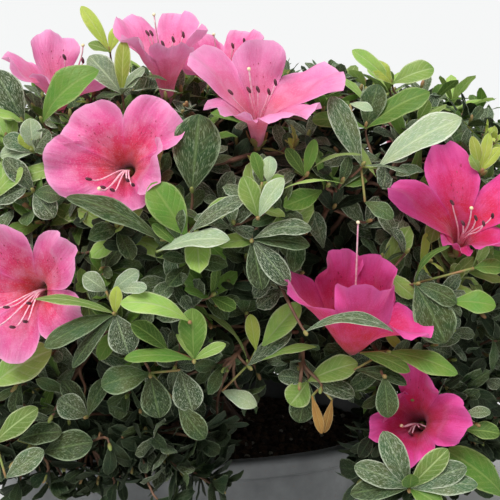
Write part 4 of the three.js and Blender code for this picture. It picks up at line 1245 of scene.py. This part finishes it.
def corolla(s, v, lift=0.0):
    # a funnel that parts into five lobes. A lobe's column v runs to fused + (1 - fused)(1 - |v|^2.6)^0.55
    # of its length, and its width grows past the notch, so that the lobes overlap like tiles
    s, v = np.broadcast_arrays(s, v)
    fused = byBloom("fused", bloomShape["fused"])[:, None, None]
    u = s * (fused + (1 - fused) * (1 - np.abs(v) ** 2.6) ** 0.55)
    beside = 0.5 * np.abs(v) ** 1.6 * (1 - smooth(fused, fused + 0.2, u))
    rows = zip(profileAt(u), profileAt(u, -1), profileAt(u, 1))
    radius, height, bend = [mixed(own, np.where(v > 0, after, past), beside) for own, after, past in rows]
    free = smooth(fused, 0.95, u)
    wide = bloomShape["lobeWide"] * (blooms["size"] / shootRule["petal"])[:, None, None] * drawn(
        0.92, 1.12, lobeNumber, 94)[..., None] * listed("widths", 1.0)[..., None]
    open3 = blooms["open"][:, None, None]
    centre = np.radians(blooms["roll"][:, None] + np.arange(5)[None] * 72 + listed("turns", 0.0))
    halfAfter = ((np.roll(centre, -1, axis=1) - centre) % (2 * math.pi) / 2)[..., None]
    halfBefore = ((centre - np.roll(centre, 1, axis=1)) % (2 * math.pi) / 2)[..., None]
    half = np.where(v > 0, halfAfter, halfBefore)
    out = v * mixed(radius * half, wide * mixed(0.86, 1.0, open3), free)
    wrap = mixed(1.0, 0.25, free * open3)
    turn = out / np.maximum(radius, 1.0)
    forth = mixed(radius, radius * np.cos(turn), wrap)
    aside = mixed(out, radius * np.sin(turn), wrap)
    phase = wholeTurn * chance(lobeNumber, 95)[..., None]
    inner = 1 - smooth(0.75, 1.0, np.abs(v))  # 0 at a lobe's two sides, where it meets the next
    edge = smooth(0.66, 1.0, s) * smooth(0.5, 0.85, u) * mixed(inner, 1.0, free)
    ruffle = edge * (np.sin(7.5 * v + phase) + 0.4 * np.sin(17 * v + 2 * phase))
    swell = 1.1 * smooth(0.5, 0.8, u) * np.sin(9 * u + 2.4 * v + 2.7 * phase) * inner
    keel = -0.7 * np.exp(-(v / 0.2) ** 2) * smooth(0.25, 0.5, u) * (1 - 0.7 * smooth(0.8, 1.0, s))
    overlap = 1.1 * v * smooth(fused, fused + 0.15, u)
    cup = mixed(2.2, -1.4, open3) * v ** 2 * smooth(0.6, 1.0, u)
    ridge = 0.6 * v ** 4 * smooth(0.22, 0.45, u) * (1 - smooth(0.6, 0.8, u))
    off = bloomShape["ruffle"] * ruffle + swell + keel + overlap + cup + ridge + lift
    forth = forth - np.cos(bend) * off
    high = height + np.sin(bend) * off
    azimuth = centre[..., None] + 0.12 * free * (chance(lobeNumber, 96)[..., None] - 0.5)
    across = forth * np.cos(azimuth) - aside * np.sin(azimuth)
    upward = forth * np.sin(azimuth) + aside * np.cos(azimuth)
    side, down, axis = [w[:, None, None] for w in (bloomSide, -bloomUp, blooms["facing"])]
    base = blooms["base"][:, None, None]
    return base + down * across[..., None] + side * upward[..., None] + axis * high[..., None]


petalLooks = {
    "throat": [(0.0, (0.3, 0.16, 0.05)), (0.16, (0.62, 0.07, 0.06)), (0.42, (0.8, 0.045, 0.08))],
    "flare": [(0.38, (0.8, 0.045, 0.08)), (0.54, (0.82, 0.04, 0.15)), (0.72, (0.83, 0.07, 0.26))],
    "lobe": [(0.66, (0.83, 0.066, 0.25)), (0.84, (0.87, 0.13, 0.39)), (1.0, (0.93, 0.31, 0.6))],
    # a dark crimson for the veins, and for painted shade in the crease of each lobe's keel
    "veinDarkAndCreaseShade": (0.62, 0.012, 0.12),
    # painted shade for the blooms that sit in shade, and painted sunlight for those at the top
    "painted_shade": (0.88, 0.3, 0.66),
    "painted_sun": (0.95, 0.44, 0.74),
    # a pale pink for the cloudy tint and the fine speckle, and for the rim, where it is partly painted rim
    # light
    "paleTintAndRimLight": (0.95, 0.46, 0.7),
    "through": 0.34,
    "rough": 0.55,
}


def petalFinish(name, light):
    # a colour along the petal, fine darker veins that fan out, and a thin pale rim that is partly the
    # petal's paler margin and partly painted rim light. Blooms that sit in the shade get painted shade, a
    # deeper colour, and those at the top get painted sunlight, a paler one
    material, tree, place = newFinish("petal_" + name + "_" + light)
    along, across, off, shade = sheetPlace(tree)
    strip = put(tree, "CombineXYZ", {
        0: times(tree, along, 5.0),
        1: times(tree, across, 26.0),
        2: times(tree, shade, 19.0)}).outputs[0]
    fan = noiseOf(tree, strip, 1.0, 3, 0.55)
    colour = rampOf(tree, along, petalLooks[name])
    colour = colourMix(tree, ranged(tree, fan, 0.52, 0.68, 0.0, 0.24), colour, petalLooks["veinDarkAndCreaseShade"])
    # a darker streak down each lobe's middle: partly its vein, partly painted shade in the crease of the keel
    colour = colourMix(tree, ranged(tree, off, 0.1, 0.0, 0.0, 0.22), colour, petalLooks["veinDarkAndCreaseShade"])
    cloud = noiseOf(tree, place, 170, 3)
    colour = colourMix(tree, ranged(tree, cloud, 0.42, 0.68, 0.0, 0.34), colour, petalLooks["paleTintAndRimLight"])
    if name == "lobe":
        # the pale rim: partly the lobe's paler margin, partly painted rim light
        rim = ranged(tree, along, 0.955, 1.0, 0.0, 0.6)
        colour = colourMix(tree, rim, colour, petalLooks["paleTintAndRimLight"])
    colour = valued(tree, colour, ranged(tree, shade, 0.0, 1.0, 0.9, 1.08))
    grain = noiseOf(tree, place, 1900, 2)
    colour = colourMix(tree, ranged(tree, grain, 0.5, 0.75, 0.0, 0.35), colour, petalLooks["paleTintAndRimLight"])
    # painted shade: a deeper copy of the colour for blooms that sit in shade
    if light == "painted_shade":
        colour = colourMix(tree, 1.0, colour, petalLooks["painted_shade"], "MULTIPLY")
    # painted sunlight: a paler copy of the colour for blooms at the top
    if light == "painted_sun":
        colour = colourMix(tree, 0.3, colour, petalLooks["painted_sun"])
    height = plus(tree, fan, times(tree, grain, 0.25))
    closeFinish(tree, colour, petalLooks["rough"], (0.6, 0.0007, height), petalLooks["through"], {
        "Specular IOR Level": 0.3, "Sheen Weight": 0.25, "Sheen Roughness": 0.5})
    return material


def plainFinish(name, base, other, rough=0.5, scale=700):
    # a colour that varies finely, for the small parts of the blooms and for the soil
    material, tree, place = newFinish(name)
    noise = noiseOf(tree, place, scale, 3)
    closeFinish(tree, rampOf(tree, noise, [(0.38, base), (0.62, other)]), rough, (0.4, 0.0002, noise))
    return material


def buildPetals():
    rows, cols = bloomShape["rows"], bloomShape["cols"]
    step = np.linspace(0, 1, rows)
    sides = np.sin(np.linspace(-math.pi / 2, math.pi / 2, cols))
    s, v = np.meshgrid(mixed(step, 1 - (1 - step) ** 1.6, 0.6), sides, indexing="ij")
    grid = np.zeros((bloomCount, 5, rows * cols))
    points = corolla(grid + s.ravel(), grid + v.ravel())
    uv = np.broadcast_to(np.stack([s.ravel(), (v.ravel() + 1) / 2], -1), points.shape[:3] + (2,))
    shade = np.broadcast_to(chance(lobeNumber, 97)[..., None], points.shape[:3])
    quads = gridQuads(bloomCount * 5, rows, cols, flip=True)
    rowStart = s[:-1, :-1].ravel()
    flare = np.where(rowStart < bloomShape["lobeFrom"], 1, 2)
    kind = np.where(rowStart < bloomShape["flareFrom"], 0, flare)
    # each bloom takes the plain finishes, or the copies with painted shade or with painted sunlight
    lights = ["even", "painted_shade", "painted_sun"]
    lit = [lights.index(b.get("light", "even")) for b in namedBlooms]
    lit = lit + [0] * (bloomCount - len(lit))
    kind = kind[None] + 3 * np.repeat(lit, 5)[:, None]
    materials = [petalFinish(name, light) for light in lights for name in ("throat", "flare", "lobe")]
    piece = buildPiece("petals", points.reshape(-1, 3), quads, materials, uv.reshape(-1, 2), shade.ravel(),
                       kind.ravel())
    settle(piece, None, *foliageNodes)


flecks = {
    "perLobe": 12,
    "along": (0.46, 0.8),
    "across": (-0.5, 0.5),
    "long": (0.008, 0.018),
    "wide": (0.01, 0.022),
    "upper": 50,
    "lift": 0.2,
}


def buildFlecks():
    # dark specks on the upper lobes, each a sliver that lies on the petal
    item = np.arange(bloomCount * 5 * flecks["perLobe"]).reshape(bloomCount, 5, flecks["perLobe"])
    s = drawn(*flecks["along"], item, 101)
    v = drawn(*flecks["across"], item, 102) * mixed(0.7, 1.0, s)
    azimuth = (blooms["roll"][:, None] + np.arange(5)[None] * 72) % 360
    upper = np.abs(azimuth - 180) < flecks["upper"]
    long = drawn(*flecks["long"], item, 103)
    wide = drawn(*flecks["wide"], item, 104)
    places = [(s - long, v), (s, v - wide), (s + long, v), (s, v + wide)]
    corners = [corolla(along, across, flecks["lift"]) for along, across in places]
    points = np.stack(corners, 3)[upper].reshape(-1, 3)
    quads = np.arange(len(points)).reshape(-1, 4)
    maroon = plainFinish("fleck_maroon", (0.3, 0.006, 0.03), (0.38, 0.01, 0.045))
    settle(buildPiece("petal_flecks", points, quads, [maroon], weld=False), None, *foliageNodes)


def inBloom(side, down, high):
    # a point from its places along a bloom's side, down and axis directions
    aside = blooms["base"][:, None] + bloomSide[:, None] * side[..., None]
    return aside - bloomUp[:, None] * down[..., None] + blooms["facing"][:, None] * high[..., None]


stamen = {
    "count": 5,
    "long": (25, 33),
    "droop": (7, 14),
    "style": (39, 13),
    "spread": (6.5, 10.5),
    "radius": 0.38,
    "styleRadius": 0.46,
    "anther": (1.5, 0.72),
    "stigma": (0.7, 0.8),
}


def buildStamens():
    # filaments that follow the tube, droop to the lower lobe and turn up at the end, and a longer style
    count = stamen["count"] + 1
    item = blooms["number"][:, None] * 8 + np.arange(count)[None]
    style = (np.arange(count) == count - 1)[None]
    fan = np.linspace(-1, 1, stamen["count"])
    fan = np.append(fan, 0.15)[None] * np.ones((bloomCount, 1))
    styleLong, styleDroop = byBloom("style", stamen["style"]).T[..., None]
    high = drawn(*stamen["long"], item, 111) * byBloom("stamens", 1)[:, None]
    high = np.where(style, styleLong, high)
    high = high * mixed(1.12, 0.95, blooms["open"])[:, None]
    down = (drawn(*stamen["droop"], item, 112) - 4.5 * np.abs(fan)) * byBloom("droops", 1)[:, None]
    down = np.where(style, styleDroop, down)
    side = fan * drawn(*stamen["spread"], item, 113) + np.where(style, 2.0, 0.0)
    zero = high * 0
    corners = [inBloom(zero + fan * 0.8, zero, zero + 4), inBloom(fan * 1.5, zero + 0.5, zero + 17),
               inBloom(side * 0.7, down * 1.15, high * 0.72), inBloom(side, down, high)]
    corners = [c.reshape(-1, 3) for c in corners]
    paths = bezier(*corners, 12)
    radii = np.where(style, stamen["styleRadius"], stamen["radius"]) * np.ones((bloomCount, 1))
    radii = radii.reshape(-1, 1) * mixed(1.0, 0.7, np.linspace(0, 1, 12))[None]
    pale = plainFinish("filament_pale", (0.86, 0.36, 0.5), (0.9, 0.62, 0.66), 0.45)
    onFoliage("filaments", None, pale, *tubesAlong(paths, radii, 5))
    isStyle = np.broadcast_to(style, (bloomCount, count)).ravel()
    ends = paths[:, -1]
    ways = endWay(paths)
    tilted = unit(ways + 0.5 * unit(np.cross(ways, np.array([0.3, 0.5, 0.8]))))
    dark = plainFinish("anther_dark", (0.05, 0.008, 0.016), (0.13, 0.03, 0.045), 0.6)
    onFoliage("anthers", None, dark, *blobs(ends[~isStyle], tilted[~isStyle], *stamen["anther"]))
    knob = plainFinish("stigma_pale", (0.8, 0.66, 0.36), (0.86, 0.74, 0.5), 0.4)
    onFoliage("stigmas", None, knob, *blobs(ends[isStyle], ways[isStyle], *stamen["stigma"]))


calyx = {
    "out": 1.6,
    "deep": (4.5, 7.5),
    "wide": (2.4, 3.4),
    "ovary": (2.2, 2.0),
    "stalk": (0.95, 0.95, 1.0, 1.5),
}


def buildCalyxes():
    # five narrow sepals, an ovary and a stalk under each bloom
    turn = np.arange(5)[None] * 2 * math.pi / 5 + chance(blooms["number"], 121)[:, None] * 6
    side, down = calyx["out"] * np.sin(turn), calyx["out"] * np.cos(turn)
    base = inBloom(side, down, side * 0 - 0.4).reshape(-1, 3)
    deep = drawn(*calyx["deep"], turn, 122)
    tip = inBloom(side * 3.0, down * 3.0, side * 0 + deep).reshape(-1, 3)
    inward = np.repeat(blooms["facing"], 5, axis=0) - unit(tip - base) * 0.2
    number = np.arange(len(base))
    sepals = {"base": base, "tip": tip, "face": inward, "wide": drawn(*calyx["wide"], number, 123),
              "lift": number * 0 - 0.06, "fold": number * 0 + 0.3, "curl": number * 0 + 0.1,
              "twist": number * 0.0, "shade": chance(number, 124)}
    green = plainFinish("sepal_green", (0.17, 0.2, 0.05), (0.3, 0.17, 0.07), 0.55, 500)
    middles = blooms["base"] + blooms["facing"] * 1.8
    ovaries = blobs(middles, blooms["facing"], *calyx["ovary"], rows=7, sides=8)
    onFoliage("ovaries", "leaves", green, *ovaries)
    onFoliage("sepals", "leaves", green, *leafSheets(sepals, 6, 5))
    radii = np.tile(np.array([calyx["stalk"]]), (bloomCount, 1))
    onFoliage("flower_stalks", "leaves", green, *tubesAlong(twigPaths[:bloomCount, -4:], radii, 7))


buildPetals()
buildFlecks()
buildStamens()
buildCalyxes()
print("blooms done:", bloomCount)


# The pot

pot = {
    "length": 206,
    "depth": 158,
    "sides": 160,
    "outline": [(0, 0), (84, 0), (86, 7), (90, 9), (96, 24), (99.5, 55), (100, 58), (103, 59.2), (103, 65.5),
                (101.5, 67), (95.8, 67), (95, 66), (91, 54), (85, 18), (79, 12), (0, 12)],
    "round": 1.6,
    "holeApart": 80,
    "hole": 12,
    "holeSides": 40,
    "groove": 14,
    "grooveHigh": 3,
    "grooveReach": 0.6,
}


def rounded(outline, size, steps=5):
    # each inner corner becomes a short curve (1-s)^2 a + 2s(1-s) corner + s^2 b
    line = np.array(outline, float)
    back, here, on = line[:-2], line[1:-1], line[2:]
    before = np.linalg.norm(back - here, axis=1, keepdims=True)
    after = np.linalg.norm(on - here, axis=1, keepdims=True)
    a = here + (back - here) * np.minimum(size / before, 0.45)
    b = here + (on - here) * np.minimum(size / after, 0.45)
    s = np.linspace(0, 1, steps)[None, :, None]
    curve = (1 - s) ** 2 * a[:, None] + 2 * s * (1 - s) * here[:, None] + s ** 2 * b[:, None]
    return np.concatenate([line[:1], curve.reshape(-1, 2), line[-1:]])


def turned(profile, sides, press):
    # the profile turned about the upright axis and pressed to an oval, closed on the axis
    angle = np.arange(sides) * 2 * math.pi / sides
    x = profile[:, :1] * np.cos(angle)[None]
    y = profile[:, :1] * np.sin(angle)[None] * press
    points = np.stack([x, y, np.broadcast_to(profile[:, 1:], x.shape)], -1)
    return points.reshape(-1, 3), gridQuads(1, len(profile), sides, wrap=True)


glazeLook = {
    "base": (0.108, 0.114, 0.118),
    "pale": (0.19, 0.198, 0.202),
    "pool": (0.058, 0.062, 0.066),
    "clay": (0.13, 0.08, 0.055),
}


def glazeFinish():
    # slate grey glaze, mottled and finely speckled, over a foot of bare brown clay
    material, tree, place = newFinish("grey_glaze")
    cloud = noiseOf(tree, place, 26, 5, 0.6)
    grain = noiseOf(tree, place, 900, 2)
    stops = [(0.32, glazeLook["pool"]), (0.5, glazeLook["base"]), (0.7, glazeLook["pale"])]
    colour = rampOf(tree, cloud, stops)
    colour = colourMix(tree, ranged(tree, grain, 0.64, 0.72, 0.0, 0.5), colour, glazeLook["clay"])
    height = put(tree, "SeparateXYZ", {0: place}).outputs[2]
    ragged = plus(tree, height, times(tree, less(tree, cloud, 0.5), 0.006))
    bare = ranged(tree, ragged, 0.0098, 0.0088)  # in metres, as the object's coordinates are
    colour = colourMix(tree, bare, colour, glazeLook["clay"])
    rough = plus(tree, ranged(tree, bare, 0.0, 1.0, 0.3, 0.85), times(tree, cloud, 0.12))
    relief = plus(tree, cloud, times(tree, grain, 0.25))
    closeFinish(tree, colour, rough, (0.25, 0.0006, relief))
    return material


def buildPot():
    profile = rounded(pot["outline"], pot["round"])
    points, quads = turned(profile, pot["sides"], pot["depth"] / pot["length"])
    piece = buildPiece("pot_glazed", points, quads, [glazeFinish()])
    radius = pot["hole"] / 2
    ring = np.array([(0, -20), (radius, -20), (radius, 40), (0, 40)], float)
    hole, holeFaces = turned(ring, pot["holeSides"], 1.0)
    wide, long, high = pot["groove"] / 2, pot["depth"] * pot["grooveReach"], pot["grooveHigh"]
    box = np.array([(x, y, z) for z in (-high, high) for y in (-long, long) for x in (-wide, wide)])
    boxFaces = np.array([
        (0, 2, 3, 1), (4, 5, 7, 6), (0, 1, 5, 4), (2, 6, 7, 3), (0, 4, 6, 2), (1, 3, 7, 5)])
    cuts = []
    for middle in (-pot["holeApart"] / 2, pot["holeApart"] / 2):
        cuts.append(buildPiece("hole", hole + [middle, 0, 0], holeFaces, []))
        cuts.append(buildPiece("groove", box + [middle, 0, 0], boxFaces, []))
    for cut in cuts:
        change = piece.modifiers.new(cut.name, "BOOLEAN")
        change.operation = "DIFFERENCE"
        change.solver = "EXACT"
        change.object = cut
    bpy.context.view_layer.update()
    shaped = bpy.data.meshes.new_from_object(piece.evaluated_get(bpy.context.evaluated_depsgraph_get()))
    piece.modifiers.clear()
    piece.data = shaped
    for cut in cuts:
        bpy.data.objects.remove(cut)
    settle(piece, "glaze", "pot")


buildPot()


# The soil

soil = {
    "atTrunk": 62.0,
    "atWall": 57.0,
    "mound": 36.0,
    "edge": 90.5,
    "under": [(88, 53), (84, 20), (78, 12.5), (0, 12.5)],
    "rings": 40,
    "sides": 96,
    "grains": 4200,
    "size": (0.9, 2.1),
    "clearOfTrunk": 20,
    "colours": {"dark": ((0.018, 0.01, 0.006), (0.045, 0.024, 0.014)),
                "brown": ((0.055, 0.027, 0.015), (0.105, 0.055, 0.031)),
                "pale": ((0.26, 0.23, 0.19), (0.42, 0.39, 0.34))},
}


def soilHeight(radius):
    # level by the trunk, then falling in a smooth curve to the wall
    return mixed(soil["atTrunk"], soil["atWall"], smooth(soil["mound"] * 0.7, soil["edge"] + 12, radius))


def buildSoil():
    radius = np.linspace(0, soil["edge"], soil["rings"])
    top = np.stack([radius, soilHeight(radius) - 0.9], -1)
    profile = np.concatenate([top, soil["under"]])[::-1]
    points, quads = turned(profile, soil["sides"], pot["depth"] / pot["length"])
    earth = {name: plainFinish("soil_" + name, *pair, 0.95, 900) for name, pair in soil["colours"].items()}
    settle(buildPiece("soil_bed", points, quads, [earth["dark"]]), "earth", "soil")
    number = np.arange(soil["grains"])
    out = np.sqrt((number + 0.5) / soil["grains"]) * (soil["edge"] - 1.5)
    turn = number * golden + drawn(-0.3, 0.3, number, 131)
    across, deep = out * np.cos(turn), out * np.sin(turn) * pot["depth"] / pot["length"]
    place = np.stack([across, deep, soilHeight(out)], -1)
    place[:, 2] += drawn(-0.9, 0.5, number, 132)
    foot = trunkAt(soil["atTrunk"])
    clear = np.hypot(place[:, 0] - foot[0], place[:, 1] - foot[1]) > soil["clearOfTrunk"]
    number, place = number[clear], place[clear]
    gold = (1 + math.sqrt(5)) / 2  # a grain is a 20-sided lump
    shape = unit(np.array([
        (-1, gold, 0), (1, gold, 0), (-1, -gold, 0), (1, -gold, 0), (0, -1, gold), (0, 1, gold),
        (0, -1, -gold), (0, 1, -gold), (gold, 0, -1), (gold, 0, 1), (-gold, 0, -1), (-gold, 0, 1)]))
    faces = np.array([
        (0, 11, 5), (0, 5, 1), (0, 1, 7), (0, 7, 10), (0, 10, 11), (1, 5, 9), (5, 11, 4), (11, 10, 2),
        (10, 7, 6), (7, 1, 8), (3, 9, 4), (3, 4, 2), (3, 2, 6), (3, 6, 8), (3, 8, 9), (4, 9, 5), (2, 4, 11),
        (6, 2, 10), (8, 6, 7), (9, 8, 1)])
    corners = len(shape)
    item = number[:, None] * corners + np.arange(corners)[None]
    size = mixed(*soil["size"], chance(number, 133) ** 2)[:, None] * drawn(0.75, 1.2, item, 134)
    spin = wholeTurn * chance(number, 135)[:, None]
    x = shape[:, 0] * np.cos(spin) - shape[:, 1] * np.sin(spin)
    y = shape[:, 0] * np.sin(spin) + shape[:, 1] * np.cos(spin)
    lump = np.stack([x * 1.1, y, shape[:, 2] * 0.8 + x * 0], -1) * size[..., None]
    grains = place[:, None] + lump
    kind = np.digitize(chance(number, 136), [0.52, 0.965])
    for order, name in enumerate(soil["colours"]):
        own = grains[kind == order]
        triangles = (np.arange(len(own))[:, None, None] * corners + faces[None]).reshape(-1, 3)
        piece = buildPiece("soil_grains_" + name, own.reshape(-1, 3), triangles, [earth[name]], weld=False)
        piece.data.polygons.foreach_set("use_smooth", np.zeros(len(triangles), dtype=bool))
        settle(piece, "earth", "soil")


buildSoil()
print("pot and soil done")


# Floor, light and backdrop

studio = {
    "radius": 4000,
    "sides": 96,
    "floor": (0.62, 0.62, 0.61),
    "horizon": (0.92, 0.93, 0.93),
    "above": (0.34, 0.35, 0.35),
    "sun": {"from": (-0.3, -0.55, 1.0), "spread": 40, "strength": 4.0},
}


def buildStudio():
    angle = np.linspace(0, 2 * math.pi, studio["sides"], endpoint=False)
    ring = np.stack([studio["radius"] * np.cos(angle), studio["radius"] * np.sin(angle), angle * 0], -1)
    points = np.stack([ring * 0, ring])
    quads = gridQuads(1, 2, studio["sides"], wrap=True, flip=True)
    floor = buildPiece("floor", points.reshape(-1, 3), quads, [])
    material, tree, place = newFinish("studio_floor")
    noise = noiseOf(tree, place, 3, 2)
    shade = tuple(value * 0.97 for value in studio["floor"])
    colour = rampOf(tree, noise, [(0.3, shade), (0.7, studio["floor"])])
    closeFinish(tree, colour, 0.8, (0.02, 0.001, noise))
    floor.data.materials.append(material)
    floor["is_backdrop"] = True
    sun = studio["sun"]
    data = bpy.data.lights.new("soft_sun", "SUN")
    data.angle = math.radians(sun["spread"])
    data.energy = sun["strength"]
    lamp = bpy.data.objects.new("soft_sun", data)
    x, y, z = sun["from"]
    lamp.rotation_euler = (math.atan2(math.hypot(x, y), z), 0, math.atan2(y, x) + math.pi / 2)
    bpy.context.scene.collection.objects.link(lamp)
    world = bpy.data.worlds.new("studio")
    world.use_nodes = True
    tree = world.node_tree
    way = put(tree, "SeparateXYZ", {0: put(tree, "TexCoord").outputs["Generated"]}).outputs[2]
    sky = rampOf(tree, way, [(0.12, studio["horizon"]), (0.34, studio["above"])])
    tree.links.new(sky, tree.nodes["Background"].inputs[0])
    bpy.context.scene.world = world
    bpy.context.scene.view_settings.view_transform = "Standard"


buildStudio()
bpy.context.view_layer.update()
faces = {o.name: sum(len(p.vertices) - 2 for p in o.data.polygons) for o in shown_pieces() if o.type == "MESH"}
print("triangles:", sum(faces.values()), "largest:", max(faces.items(), key=lambda pair: pair[1]))
